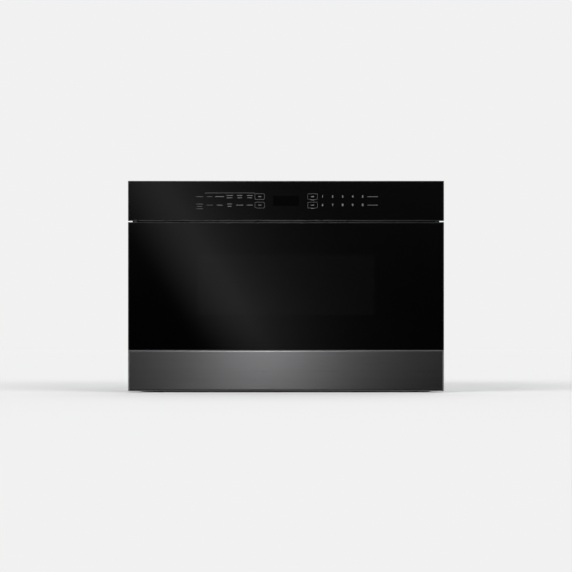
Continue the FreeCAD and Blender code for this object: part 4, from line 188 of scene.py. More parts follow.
def noise(tree, where, scale, detail, roughness=0.55):
    """Soft noise from nought to one. Scale is features per metre."""
    made = add(tree, "ShaderNodeTexNoise", {
        "Vector": where, "Scale": scale, "Detail": detail, "Roughness": roughness,
    })
    return made.outputs["Fac"]


def ranged(tree, value, low, high, from_low=0.0, from_high=1.0):
    """A value brought from one range to another, and held at the ends."""
    made = add(tree, "ShaderNodeMapRange", {
        "Value": value, "From Min": from_low, "From Max": from_high, "To Min": low, "To Max": high,
    })
    return made.outputs["Result"]


def eased(tree, value, none, full):
    """Nought at one place and one at another, with a soft start and end."""
    made = add(tree, "ShaderNodeMapRange", {
        "Value": value, "From Min": none, "From Max": full, "To Min": 0.0, "To Max": 1.0,
    }, interpolation_type="SMOOTHSTEP")
    return made.outputs["Result"]


def calc(tree, operation, a, b=0.0):
    """A sum on numbers or sockets."""
    made = add(tree, "ShaderNodeMath", operation=operation)
    for socket, value in zip(made.inputs, (a, b)):
        if isinstance(value, bpy.types.NodeSocket):
            tree.links.new(value, socket)
        else:
            socket.default_value = value
    return made.outputs["Value"]


def product(tree, first, *others):
    """Two or more values multiplied."""
    for other in others:
        first = calc(tree, "MULTIPLY", first, other)
    return first


def shared(tree, first, second, share):
    """Two values added, the first with its share and the second with what is left of one."""
    return calc(tree, "ADD", product(tree, first, share), product(tree, second, 1 - share))


# The Mix node's sockets for colours, which share their names with its other kinds.
MIX_FACTOR, MIX_FIRST, MIX_SECOND = 0, 6, 7
MIX_COLOUR = 2


def mixed(tree, factor, first, second):
    """One colour turning into another. The factor is a socket, the colours are colours or sockets."""
    made = add(tree, "ShaderNodeMix", data_type="RGBA")
    tree.links.new(factor, made.inputs[MIX_FACTOR])
    for index, value in ((MIX_FIRST, first), (MIX_SECOND, second)):
        if isinstance(value, bpy.types.NodeSocket):
            tree.links.new(value, made.inputs[index])
        else:
            made.inputs[index].default_value = opaque(value)
    return made.outputs[MIX_COLOUR]


def bumped(tree, shader, height, strength, distance=0.0002):
    """Gives the shader a relief from a height."""
    made = add(tree, "ShaderNodeBump", {"Height": height, "Strength": strength, "Distance": distance})
    tree.links.new(made.outputs["Normal"], shader.inputs["Normal"])


def linked(tree, shader, socket, value):
    tree.links.new(value, shader.inputs[socket])


def inside(tree, value, low, high, soft=0.0004):
    """One where a coordinate lies between two places, with a soft edge."""
    above = ranged(tree, value, 0.0, 1.0, low - soft, low + soft)
    below = ranged(tree, value, 1.0, 0.0, high - soft, high + soft)
    return product(tree, above, below)


# ---------------------------------------------------------------- finishes
HOLES_PER_METRE = 420.0


def hole_grid(tree):
    """The distance from the nearest hole of the pierced screen, in hole pitches."""
    return add(tree, "ShaderNodeTexVoronoi", {
        "Vector": place(tree, (1.0, 0.0, 1.0)), "Scale": HOLES_PER_METRE, "Randomness": 0.0,
    }).outputs["Distance"]


def black_glass(name, settings, window=None):
    """Polished black glass. The pierced screen shows faintly through the window's rectangle."""
    made, tree, shader = material(name, IOR=1.46)
    smear = noise(tree, place(tree, (6.0, 1.0, 9.0)), scale=2.5, detail=3.0)
    base = mixed(tree, smear, scaled(settings.glass, 0.8), scaled(settings.glass, 1.3))
    if window:
        split = add(tree, "ShaderNodeSeparateXYZ", {"Vector": place(tree)})
        across, up = window
        within = product(
            tree, inside(tree, split.outputs["X"], *across), inside(tree, split.outputs["Z"], *up)
        )
        between_holes = ranged(tree, hole_grid(tree), low=1.0, high=0.45, from_low=0.30, from_high=0.42)
        patch = product(tree, within, between_holes)
        base = mixed(tree, patch, base, settings.window)
    linked(tree, shader, "Base Color", base)
    linked(tree, shader, "Roughness", ranged(tree, smear, low=0.03, high=0.045))
    return made


def brushed_metal(name, rgb, rough, depth, grain=(1.0, 1.0, 1.0), anisotropy=0.0, contrast=0.28):
    """Metal with a fine grain. The grain runs along the axis that is stretched least."""
    made, tree, shader = material(name, Metallic=1.0, Anisotropic=anisotropy)
    fine = noise(tree, place(tree, grain), scale=900.0, detail=3.0, roughness=0.7)
    broad = noise(tree, place(tree, tuple(0.15 * part for part in grain)), scale=300.0, detail=2.0)
    both = shared(tree, fine, broad, 0.65)
    shade = mixed(tree, both, scaled(rgb, 1 - contrast), scaled(rgb, 1 + contrast))
    linked(tree, shader, "Base Color", shade)
    linked(tree, shader, "Roughness", ranged(tree, both, *rough))
    if anisotropy:
        turn = add(tree, "ShaderNodeTangent", direction_type="RADIAL", axis="X")
        linked(tree, shader, "Tangent", turn.outputs["Tangent"])
    bumped(tree, shader, fine, depth)
    return made


SPANGLES_PER_METRE = 230.0
SPANGLE_DRIFT = 0.004  # how far a crystal's edge wanders, in metres


def galvanised(name, rgb):
    """Zinc-coated sheet with its crystal pattern."""
    made, tree, shader = material(name, Metallic=0.85)
    where = place(tree)
    drift = add(tree, "ShaderNodeTexNoise", {"Vector": where, "Scale": 180.0, "Detail": 2.0}).outputs["Color"]
    small = add(tree, "ShaderNodeVectorMath", {0: drift, 1: (SPANGLE_DRIFT,) * 3}, operation="MULTIPLY")
    warped = add(tree, "ShaderNodeVectorMath", {0: where, 1: small.outputs["Vector"]}, operation="ADD")
    crystals = add(tree, "ShaderNodeTexVoronoi", {
        "Vector": warped.outputs["Vector"], "Scale": SPANGLES_PER_METRE,
    })
    shade = add(tree, "ShaderNodeSeparateColor", {"Color": crystals.outputs["Color"]}).outputs["Red"]
    haze = noise(tree, where, scale=14.0, detail=5.0)
    tone = shared(tree, shade, haze, 0.5)
    linked(tree, shader, "Base Color", mixed(tree, tone, scaled(rgb, 0.84), scaled(rgb, 1.14)))
    linked(tree, shader, "Roughness", ranged(tree, tone, low=0.44, high=0.60))
    bumped(tree, shader, noise(tree, where, scale=400.0, detail=3.0), 0.06)
    return made


def painted(name, rgb, rough, peel=0.12, fleck=0.15):
    """Sprayed paint or enamel with a slight peel."""
    made, tree, shader = material(name, IOR=1.5)
    where = place(tree)
    drift = noise(tree, where, scale=9.0, detail=5.0)
    fine = noise(tree, where, scale=650.0, detail=2.0)
    tone = shared(tree, drift, fine, 0.7)
    linked(tree, shader, "Base Color", mixed(tree, tone, scaled(rgb, 1 - fleck), scaled(rgb, 1 + fleck)))
    linked(tree, shader, "Roughness", ranged(tree, fine, low=rough - 0.07, high=rough + 0.07))
    bumped(tree, shader, noise(tree, where, scale=260.0, detail=2.0), peel)
    return made


def moulded(name, rgb, rough, grain=0.25):
    """Moulded plastic or rubber with a fine spark texture."""
    made, tree, shader = material(name, IOR=1.48)
    where = place(tree)
    texture = noise(tree, where, scale=1500.0, detail=2.0)
    drift = noise(tree, where, scale=25.0, detail=4.0)
    linked(tree, shader, "Base Color", mixed(tree, drift, scaled(rgb, 0.86), scaled(rgb, 1.12)))
    linked(tree, shader, "Roughness", ranged(tree, texture, low=rough - 0.08, high=rough + 0.1))
    bumped(tree, shader, texture, grain, distance=0.0001)
    return made


def ceramic_plate(name, rgb):
    """Smooth glass ceramic with a faint speckle."""
    made, tree, shader = material(name, IOR=1.52, Coat_Weight=0.4, Coat_Roughness=0.05)
    where = place(tree)
    cells = add(tree, "ShaderNodeTexVoronoi", {"Vector": where, "Scale": 520.0})
    fleck = ranged(tree, cells.outputs["Distance"], low=1.0, high=0.0, from_low=0.06, from_high=0.16)
    cloud = noise(tree, where, scale=12.0, detail=4.0)
    base = mixed(tree, cloud, scaled(rgb, 0.96), scaled(rgb, 1.03))
    linked(tree, shader, "Base Color", mixed(tree, product(tree, fleck, 0.25), base, scaled(rgb, 0.55)))
    linked(tree, shader, "Roughness", ranged(tree, cloud, low=0.10, high=0.18))
    return made


def clear_glass(name, tint):
    """Clear glass with a trace of waviness."""
    made, tree, shader = material(name, Transmission_Weight=0.9, IOR=1.45, Roughness=0.04)
    wave = noise(tree, place(tree), scale=7.0, detail=2.0)
    linked(tree, shader, "Base Color", mixed(tree, wave, tint, scaled(tint, 0.93)))
    bumped(tree, shader, wave, 0.03, distance=0.001)
    return made


def pierced_steel(name, rgb):
    """Dark steel with a grid of small round holes that show as darker dots."""
    made, tree, shader = material(name, Metallic=0.4)
    steel = ranged(tree, hole_grid(tree), low=0.0, high=1.0, from_low=0.32, from_high=0.38)
    linked(tree, shader, "Base Color", mixed(tree, steel, (0.001, 0.001, 0.001), rgb))
    linked(tree, shader, "Roughness", ranged(tree, steel, low=0.9, high=0.45))
    bumped(tree, shader, steel, 0.5)
    return made


WAVE_SCALE = 0.314  # a wave texture of this scale has one band in a metre


def banded(name, first, second, axis, pitch, metallic, rough=0.45):
    """Wound wire or stacked sheets: fine bands across one axis."""
    made, tree, shader = material(name, Metallic=metallic, Roughness=rough)
    where = place(tree)
    waves = add(tree, "ShaderNodeTexWave", {
        "Vector": where, "Scale": WAVE_SCALE / pitch, "Distortion": 0.4, "Detail": 1.0,
    }, wave_type="BANDS", bands_direction=axis).outputs["Fac"]
    drift = noise(tree, where, scale=40.0, detail=3.0)
    tone = shared(tree, waves, drift, 0.75)
    linked(tree, shader, "Base Color", mixed(tree, tone, first, second))
    bumped(tree, shader, waves, 0.4, distance=0.0003)
    return made


BOARD_THICKNESS = 0.0016
PART_SEAM = 0.0002  # over this the board's colours turn into the parts'


def circuit_board(name, flat_axis, surface):
    """Green board with tracks and pads. Parts past the surface take their own dark and pale colours."""
    made, tree, shader = material(name, IOR=1.5)
    where = place(tree)
    split = add(tree, "ShaderNodeSeparateXYZ", {"Vector": where})
    tracks = add(tree, "ShaderNodeTexBrick", {
        "Vector": where, "Scale": 90.0,
        "Color1": (0.012, 0.11, 0.035, 1.0), "Color2": (0.02, 0.15, 0.05, 1.0),
        "Mortar": (0.07, 0.24, 0.10, 1.0), "Mortar Size": 0.03,
    }).outputs["Color"]
    pads = add(tree, "ShaderNodeTexVoronoi", {"Vector": where, "Scale": 260.0}).outputs["Distance"]
    dots = ranged(tree, pads, low=1.0, high=0.0, from_low=0.10, from_high=0.14)
    green = mixed(tree, product(tree, dots, 0.8), tracks, (0.55, 0.50, 0.38))
    blocks = add(tree, "ShaderNodeTexVoronoi", {"Vector": where, "Scale": 38.0}, distance="CHEBYCHEV")
    tone = add(tree, "ShaderNodeSeparateColor", {"Color": blocks.outputs["Color"]}).outputs["Red"]
    pale_part = ranged(tree, tone, low=0.0, high=1.0, from_low=0.55, from_high=0.60)
    parts = mixed(tree, pale_part, (0.018, 0.018, 0.02), (0.50, 0.50, 0.46))
    beyond = ranged(
        tree, split.outputs[flat_axis], low=0.0, high=1.0, from_low=surface, from_high=surface + PART_SEAM
    )
    linked(tree, shader, "Base Color", mixed(tree, beyond, green, parts))
    linked(tree, shader, "Roughness", ranged(tree, tone, low=0.30, high=0.5))
    bumped(tree, shader, dots, 0.2)
    return made


def printed_ink(name, rgb):
    """Screen-printed ink with a slightly uneven cover."""
    made, tree, shader = material(name, Roughness=0.6)
    cover = noise(tree, place(tree), scale=900.0, detail=3.0)
    linked(tree, shader, "Base Color", mixed(tree, cover, scaled(rgb, 0.8), scaled(rgb, 1.15)))
    return made


# ---------------------------------------------------------------- objects and their finishes
def new_object(name, data):
    made = bpy.data.objects.new(name, data)
    bpy.context.scene.collection.objects.link(made)
    return made


def dress(finish, *names):
    """Gives a finish to every material slot of the named pieces."""
    for name in names:
        slots = NODES[name].material_slots
        if not slots:
            NODES[name].data.materials.append(finish)
        for slot in slots:
            slot.material = finish


# ---------------------------------------------------------------- printing on the control glass
# Where the printed columns stand, in metres across the front from its middle.
FIRST_DIGIT_X = 0.0878
BOXED_KEYS = ((-0.0631, ("bar", "dots")), (0.0638, ("square", "triangle")))
FIRST_KEY_X = -0.2076
LAST_KEY_X = 0.2083

# Each key's marks from the left: width, number of lines, and whether they are in the faint ink.
UPPER_KEYS = (
    (0.018, 1, True), (0.012, 1, True), (0.020, 1, False),
    (0.0155, 2, False), (0.0125, 2, False), (0.014, 2, False),
)
LOWER_KEYS = (
    (0.0155, 3, True), (0.015, 1, True), (0.013, 1, False),
    (0.011, 2, False), (0.016, 1, False), (0.014, 1, False),
)
LAST_KEY_WIDTH = 0.025
FIRST_LINE = {1: 0.0, 2: 0.5, 3: 0.45}  # steps from a key's middle up to its first line, by number of lines

# The line over five of the keys, and its short ends that point down.
BRACKET_LEFT, BRACKET_RIGHT = -0.194, -0.0755
BRACKET_RISE = 0.0088
BRACKET_END = 0.0022

FOOT_MARK_WIDTH = 0.008  # of the small mark under each boxed key on the right
DIGIT_SHARE = 0.70  # a digit's height as a share of the font's size

# Heights as shares of a key's marks, and a second line's width as a share of the first's.
SIGN_SHARE, LAST_KEY_SHARE, FOOT_MARK_SHARE = 1.3, 0.75, 0.6
SECOND_LINE_SHARE = 0.8

# A line's bars: how far apart and how high the short ones are, in heights, and how wide, in pitches.
BAR_PITCH, SHORT_BAR = 0.85, 0.7
WIDE_BAR, NARROW_BAR = 0.78, 0.62


class Printing:
    """Collects flat printed shapes, in metres across and up the front, into one mesh."""

    def __init__(self, front_y, depth):
        self.mesh = bmesh.new()
        self.outer_y, self.inner_y = front_y - depth, front_y - depth / 4

    def area(self, outline):
        """A filled outline of (x, z) points."""
        self.thicken([self.mesh.faces.new(self.corners(outline))])

    def corners(self, outline):
        return [self.mesh.verts.new((x, self.outer_y, z)) for x, z in outline]

    def thicken(self, faces):
        """Turns flat faces that meet into one thin closed solid."""
        grown = bmesh.ops.extrude_face_region(self.mesh, geom=faces)
        moved = [item for item in grown["geom"] if isinstance(item, bmesh.types.BMVert)]
        bmesh.ops.translate(self.mesh, vec=(0, self.inner_y - self.outer_y, 0), verts=moved)

    def bar(self, x, z, width, height):
        left, right, low, high = x - width / 2, x + width / 2, z - height / 2, z + height / 2
        self.area([(left, low), (right, low), (right, high), (left, high)])

    def ribbon(self, outer, inner):
        """The band between two outlines that have as many points."""
        outside, within = self.corners(outer), self.corners(inner)
        faces = []
        for i in range(len(outer)):
            j = (i + 1) % len(outer)
            faces.append(self.mesh.faces.new((outside[i], outside[j], within[j], within[i])))
        self.thicken(faces)

    def finish(self, name, ink, body):
        data = bpy.data.meshes.new(name)
        bmesh.ops.recalc_face_normals(self.mesh, faces=self.mesh.faces)
        self.mesh.to_mesh(data)
        self.mesh.free()
        data.materials.append(ink)
        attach(new_object(name, data), body)


def rounded_outline(x, z, width, height, radius, steps=6):
    """The points of a rectangle with round corners, anticlockwise."""
    points = []
    corners = ((1, -1, -90), (1, 1, 0), (-1, 1, 90), (-1, -1, 180))
    for side, up, start in corners:
        cx, cz = x + side * (width / 2 - radius), z + up * (height / 2 - radius)
        for i in range(steps + 1):
            angle = math.radians(start + 90 * i / steps)
            points.append((cx + radius * math.cos(angle), cz + radius * math.sin(angle)))
    return points


def key_marks(printing, x, z, width, height):
    """One line of generic marks, centred on a place: small upright bars of two heights."""
    count = max(3, round(width / (height * BAR_PITCH)))
    pitch = width / count
    for i in range(count):
        # An uneven mix of tall and short bars, the same in each run.
        is_tall = math.sin(2.4 * i + 40 * width) > 0.3
        tall = height * (1.0 if is_tall else SHORT_BAR)
        bar_width = pitch * (NARROW_BAR if i % 3 else WIDE_BAR)
        printing.bar(x + (i - (count - 1) / 2) * pitch, z - (height - tall) / 2, bar_width, tall)


class DRAWER_OT_key_printing(Operator):
    """Print the digits, the boxed keys and the generic key marks on the control glass"""

    bl_idname = "drawer.key_printing"
    bl_label = "Key Printing"

    def execute(self, context):
        s = context.scene.drawer_legends
        front_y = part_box("control_glass")[0][1]
        rows = (PANEL_HIGH[2] - s.row_upper, PANEL_HIGH[2] - s.row_lower)
        ink = printed_ink("key_ink", s.ink)
        faint = printed_ink("faint_key_ink", s.faint_ink)
        self.print_digits(s, front_y, rows, ink)
        self.print_boxes(s, front_y, rows, ink)
        self.print_marks(s, front_y, rows, ink, faint)
        self.print_display(s, front_y, (rows[0] + rows[1]) / 2)
        return {"FINISHED"}

    def print_digits(self, s, front_y, rows, ink):
        """Ten digits in two rows of five."""
        for i, digit in enumerate("1234567890"):
            curve = bpy.data.curves.new(f"digit_{digit}", "FONT")
            curve.body = digit
            curve.size = s.digit_height / DIGIT_SHARE
            curve.align_x = "CENTER"
            curve.align_y = "CENTER"
            curve.extrude = s.print_depth / 4
            curve.materials.append(ink)
            made = new_object(f"digit_{digit}", curve)
            row, column = divmod(i, 5)
            made.location = (FIRST_DIGIT_X + s.key_pitch * column, front_y - s.print_depth / 2, rows[row])
            made.rotation_euler = (math.pi / 2, 0, 0)
            bpy.context.view_layer.update()
            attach(made, "cabinet")

    def print_boxes(self, s, front_y, rows, ink):
        """Four boxed keys: two left of the display and two right of it, with a plain sign in each."""
        printing = Printing(front_y, s.print_depth)
        line = s.line_width
        for x, signs in BOXED_KEYS:
            for z, sign in zip(rows, signs):
                outer = rounded_outline(x, z, s.box_width, s.box_height, s.box_radius)
                inner = rounded_outline(
                    x, z, s.box_width - 2 * line, s.box_height - 2 * line, s.box_radius - line
                )
                printing.ribbon(outer, inner)
                self.print_sign(printing, sign, x, z, s.mark_height * SIGN_SHARE)
        printing.finish("boxed_keys", ink, "cabinet")

    def print_sign(self, printing, sign, x, z, size):
        """A plain sign of one of four kinds, its proportions given in sizes."""
        if sign == "bar":
            printing.bar(x, z, size * 4.6, size * 0.55)
        elif sign == "dots":
            for i in (-1, 0, 1):
                printing.area(rounded_outline(x + i * size * 1.7, z, size, size, size * 0.499))
        elif sign == "square":
            for i in (-1.2, 0, 1.2):
                printing.bar(x + i * size * 1.3, z, size * 0.9, size * 1.2)
        else:
            for i in (-1, 0, 1):
                left = x + i * size * 1.8 - size * 0.6
                printing.area([(left, z - size * 0.7), (left + size * 1.2, z), (left, z + size * 0.7)])

    def print_marks(self, s, front_y, rows, ink, faint):
        """Generic marks for the other keys, with the bracket line over five of them."""
        plain, pale = Printing(front_y, s.print_depth), Printing(front_y, s.print_depth)
        foot_x = BOXED_KEYS[1][0]
        for z, keys in zip(rows, (UPPER_KEYS, LOWER_KEYS)):
            for column, (width, lines, is_faint) in enumerate(keys):
                x = FIRST_KEY_X + column * s.key_pitch
                for i in range(lines):
                    line_z = z + (FIRST_LINE[lines] - i) * s.mark_step
                    line_width = width * (SECOND_LINE_SHARE if i % 2 else 1.0)
                    key_marks(pale if is_faint else plain, x, line_z, line_width, s.mark_height)
            key_marks(plain, LAST_KEY_X, z, LAST_KEY_WIDTH, s.mark_height * LAST_KEY_SHARE)
            foot_z = z - s.box_height / 2 - s.mark_height
            key_marks(plain, foot_x, foot_z, FOOT_MARK_WIDTH, s.mark_height * FOOT_MARK_SHARE)
        bracket_z = rows[0] + BRACKET_RISE
        middle_x, width = (BRACKET_LEFT + BRACKET_RIGHT) / 2, BRACKET_RIGHT - BRACKET_LEFT
        plain.bar(middle_x, bracket_z, width, s.bracket_width)
        for x in (BRACKET_LEFT, BRACKET_RIGHT):
            plain.bar(x, bracket_z - BRACKET_END / 2, s.bracket_width, BRACKET_END)
        plain.finish("key_marks", ink, "cabinet")
        pale.finish("faint_key_marks", faint, "cabinet")

    def print_display(self, s, front_y, middle_z):
        """The dark window over the display, which mirrors less than the glass round it."""
        printing = Printing(front_y, s.print_depth)
        printing.area(rounded_outline(0.0, middle_z, s.display_width, s.display_height, s.box_radius / 3))
        finish, tree, shader = material("display_window_print", Specular_IOR_Level=0.0)
        cover = noise(tree, place(tree), scale=700.0, detail=2.0)
        dark = bpy.context.scene.drawer_finishes.display
        linked(tree, shader, "Base Color", mixed(tree, cover, scaled(dark, 0.8), scaled(dark, 1.2)))
        linked(tree, shader, "Roughness", ranged(tree, cover, low=0.18, high=0.26))
        printing.finish("display_window", finish, "cabinet")


# ---------------------------------------------------------------- the front
SCREEN_RIM = 0.008  # the screen's rim, which laps the metal round the window


class DRAWER_OT_front_glass(Operator):
    """Finish the two black glasses, with the window showing faintly through the drawer's"""

    bl_idname = "drawer.front_glass"
    bl_label = "Front Glass"

    def execute(self, context):
        s = context.scene.drawer_finishes
        across = (SCREEN_LOW[0] + SCREEN_RIM, SCREEN_HIGH[0] - SCREEN_RIM)
        up = (SCREEN_LOW[2] + SCREEN_RIM, SCREEN_HIGH[2] - SCREEN_RIM)
        dress(black_glass("drawer_black_glass", s, window=(across, up)), "door_glass")
        dress(black_glass("control_black_glass", s), "control_glass")
        return {"FINISHED"}


class DRAWER_OT_front_metal(Operator):
    """Finish the brushed strip and the thin metal edges round both glasses"""

    bl_idname = "drawer.front_metal"
    bl_label = "Front Metal"

    def execute(self, context):
        s = context.scene.drawer_finishes
        strip = brushed_metal("dark_brushed_strip", s.strip, rough=(0.25, 0.32), depth=s.brush_depth,
                              grain=(0.008, 1.0, 1.0), anisotropy=0.88, contrast=0.16)
        edge = brushed_metal("satin_edge_metal", s.edge_metal, rough=(0.22, 0.34), depth=0.06,
                             grain=(0.05, 1.0, 0.05))
        dress(strip, "lower_strip")
        dress(edge, "door_trim", "control_trim")
        return {"FINISHED"}


class DRAWER_OT_door_inside(Operator):
    """Finish the door's frame, rear panel, trough cover, screen, inner glass and latch fingers"""

    bl_idname = "drawer.door_inside"
    bl_label = "Door Inside"

    def execute(self, context):
        s = context.scene.drawer_finishes
        dress(painted("door_dark_paint", s.dark_paint, rough=0.42), "door_frame", "rear_panel")
        dress(moulded("trough_cover_plastic", (0.022, 0.022, 0.024), rough=0.42), "choke_cover")
        dress(pierced_steel("screen_steel", (0.03, 0.03, 0.03)), "window_screen")
        dress(clear_glass("inner_pane", (0.78, 0.82, 0.81)), "inner_glass")
        dress(moulded("latch_plastic", (0.22, 0.22, 0.23), rough=0.45), "latch_fingers")
        return {"FINISHED"}


# ---------------------------------------------------------------- the pan and what carries it
class DRAWER_OT_pan(Operator):
    """Finish the pan, its ceramic plate and its glides"""

    bl_idname = "drawer.pan"
    bl_label = "Pan"

    def execute(self, context):
        s = context.scene.drawer_finishes
        satin = brushed_metal("satin_pan_steel", s.pan, rough=(0.28, 0.42), depth=0.08,
                              grain=(0.05, 1.0, 1.0))
        dress(satin, "drawer_pan")
        dress(ceramic_plate("plate_ceramic", s.plate), "glass_tray")
        dress(moulded("glide_plastic", (0.66, 0.66, 0.62), rough=0.4), "pan_glides")
        return {"FINISHED"}


class DRAWER_OT_slides(Operator):
    """Finish the telescopic slides, their ball cages, brackets and mounts"""

    bl_idname = "drawer.slides"
    bl_label = "Slides"

    def execute(self, context):
        s = context.scene.drawer_finishes
        rolled = brushed_metal("rolled_plated_steel", s.bright_steel, rough=(0.25, 0.38), depth=0.06,
                               grain=(1.0, 0.05, 1.0))
        dress(rolled, "slides_outer", "slides_middle", "slides_inner", "slide_brackets")
        polished = brushed_metal("ball_steel", (0.66, 0.66, 0.67), rough=(0.12, 0.2), depth=0.02)
        dress(polished, "ball_cages_outer", "ball_cages_inner")
        dress(galvanised("mount_zinc", s.zinc), "slide_mounts")
        return {"FINISHED"}


class DRAWER_OT_drive(Operator):
    """Finish the rack, gears, bracket, gearcase and motor that run the drawer out"""

    bl_idname = "drawer.drive"
    bl_label = "Drive"

    def execute(self, context):
        s = context.scene.drawer_finishes
        nylon = moulded("gear_nylon", (0.70, 0.69, 0.62), rough=0.38, grain=0.12)
        dress(nylon, "rack", "drive_gear", "rack_guide")
        turned = brushed_metal("turned_steel", s.bright_steel, rough=(0.22, 0.34), depth=0.05,
                               grain=(0.1, 1.0, 1.0))
        dress(turned, "pinion_shaft", "motor_pinion", "drive_motor")
        dress(galvanised("bracket_zinc", s.zinc), "drive_bracket")
        dress(moulded("gearcase_plastic", (0.026, 0.026, 0.028), rough=0.5), "gearcase")
        return {"FINISHED"}


# ---------------------------------------------------------------- the case
class DRAWER_OT_case(Operator):
    """Finish the chassis: base, wrapper, back, front frame, feet, bush and screws"""

    bl_idname = "drawer.case"
    bl_label = "Case"

    def execute(self, context):
        s = context.scene.drawer_finishes
        dress(galvanised("case_zinc", s.zinc), "base_pan", "case_wrapper", "back_panel")
        # The front frame's own paint, set nearly black as painted shade for the gaps between the control panel,
        # the drawer and the frame
        dress(painted("frame_gap_shade_black_paint", s.frame_and_gap_shade_paint, rough=0.5), "front_frame")
        plated = brushed_metal("plated_screws", (0.55, 0.55, 0.56), rough=(0.2, 0.34), depth=0.05)
        dress(plated, "case_screws", "door_screws")
        dress(moulded("foot_rubber", (0.020, 0.020, 0.020), rough=0.75, grain=0.4), "feet")
        dress(moulded("bush_plastic", (0.022, 0.022, 0.023), rough=0.5), "cord_gland")
        dress(moulded("buffer_plastic", (0.10, 0.10, 0.10), rough=0.5), "gap_bumpers")
        dress(moulded("housing_plastic", (0.024, 0.024, 0.026), rough=0.55), "control_housing")
        return {"FINISHED"}


class DRAWER_OT_cooking_parts(Operator):
    """Finish the cavity, the wave duct, the stirrer, the magnetron and its supply"""

    bl_idname = "drawer.cooking_parts"
    bl_label = "Cooking Parts"

    def execute(self, context):
        s = context.scene.drawer_finishes
        dress(painted("cavity_enamel", s.enamel, rough=0.32, peel=0.08, fleck=0.08), "cavity_liner")
        dress(moulded("stirrer_cover_plastic", (0.66, 0.66, 0.62), rough=0.4), "stirrer_cover")
        sheet = brushed_metal("aluminium_sheet", (0.66, 0.66, 0.67), rough=(0.3, 0.45), depth=0.06,
                              grain=(0.2, 1.0, 1.0))
        dress(sheet, "waveguide", "stirrer", "magnetron_fins")
        dress(galvanised("yoke_zinc", s.zinc), "magnetron_yoke")
        plated = brushed_metal("plated_can", s.bright_steel, rough=(0.24, 0.36), depth=0.05,
                               grain=(1.0, 1.0, 0.2))
        dress(plated, "magnetron_tube", "stirrer_motor", "capacitor")
        stack = banded("laminated_steel", (0.03, 0.03, 0.034), (0.12, 0.12, 0.13),
                       axis="Y", pitch=0.0012, metallic=0.6)
        dress(stack, "transformer_core")
        wire = banded("wound_copper", (0.30, 0.09, 0.03), (0.75, 0.36, 0.16),
                      axis="Z", pitch=0.0014, metallic=0.8, rough=0.35)
        dress(wire, "transformer_windings")
        return {"FINISHED"}


class DRAWER_OT_electrics(Operator):
    """Finish the fan, the lamp, the boards, the switches and their plungers"""

    bl_idname = "drawer.electrics"
    bl_label = "Electrics"

    def execute(self, context):
        s = context.scene.drawer_finishes
        dress(moulded("fan_plastic", (0.16, 0.16, 0.17), rough=0.45), "fan_frame", "fan_blade")
        stack = banded("fan_motor_steel", (0.05, 0.05, 0.055), (0.16, 0.16, 0.17),
                       axis="Y", pitch=0.001, metallic=0.6)
        dress(stack, "fan_motor")
        dress(galvanised("lamp_holder_zinc", s.zinc), "lamp_holder")
        dress(clear_glass("bulb_glass", (0.92, 0.90, 0.82)), "lamp_bulb")
        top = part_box("power_board")[0][2] + BOARD_THICKNESS
        dress(circuit_board("power_board_parts", "Z", top), "power_board")
        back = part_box("control_board")[0][1] + BOARD_THICKNESS
        dress(circuit_board("control_board_parts", "Y", back), "control_board")
        dress(moulded("switch_plastic", (0.020, 0.020, 0.022), rough=0.4), "interlock_switches")
        red = moulded("plunger_plastic", (0.55, 0.10, 0.07), rough=0.4)
        dress(red, "switch_plunger_right", "switch_plunger_left")
        return {"FINISHED"}


# ---------------------------------------------------------------- the studio
# Where the broad lights come from. The right one is weaker than the left one.
FROM_LEFT, FROM_RIGHT, FROM_BEHIND = (-1.5, -1.0, 1.5), (1.5, -1.0, 1.5), (0.3, 1.5, 1.6)
RIGHT_SHARE = 0.8
BROAD_ANGLE = math.radians(40)

# The tall lamp stands before the front and lights only the front's metal.
COLUMN_WIDTH, COLUMN_HEIGHT = 0.17, 2.6
COLUMN_AT, COLUMN_TOWARDS = (-0.08, -3.1, 2.0), (-0.05, 0.0, 2.0)

FLOOR_REACH = 80.0
FLOOR_FADE_START, FLOOR_FADE_END = 1.5, 6.0  # metres from the middle, for the camera only
PAPER_GRAIN = 0.005

# The mirror card. Its floor part starts just before the strip.
CARD_RISE = 0.0008
CARD_START_Y = FRONT_Y - 0.001
BAND_SLANT = 0.62  # metres that the pale band moves left for each metre up
BAND_START, BAND_FULL = -0.26, -0.03
BAND_FALL_START, BAND_FALL = -0.02, 0.155  # its right side fades exponentially, with this length
FLOOR_LEAST = 0.12  # the floor part's brightness away from the band, as a share
POOL_START, POOL_FULL = CARD_START_Y - 0.10, CARD_START_Y - 0.50

# Heights between which a part of the card's print goes from none to full.
WALL_RISE = (0.001, 0.02)
BAND_RISE = (-0.20, 0.25)
HIGHER_RISE = (0.10, 0.75)
TOP_FADE = (1.2, 0.8)


def lamp(name, power, width, height, at, towards):
    """A soft rectangular lamp that faces a point."""
    data = bpy.data.lights.new(name, "AREA")
    data.energy = power
    data.shape = "RECTANGLE"
    data.size = width
    data.size_y = height
    made = new_object(name, data)
    made.location = at
    made.rotation_euler = (Vector(towards) - Vector(at)).to_track_quat("-Z", "Y").to_euler()
    return made


def broad_light(name, strength, side):
    """Even soft light that comes from far off on one side."""
    data = bpy.data.lights.new(name, "SUN")
    data.energy = strength
    data.angle = BROAD_ANGLE
    made = new_object(name, data)
    made.location = side
    made.rotation_euler = Vector(side).to_track_quat("Z", "Y").to_euler()


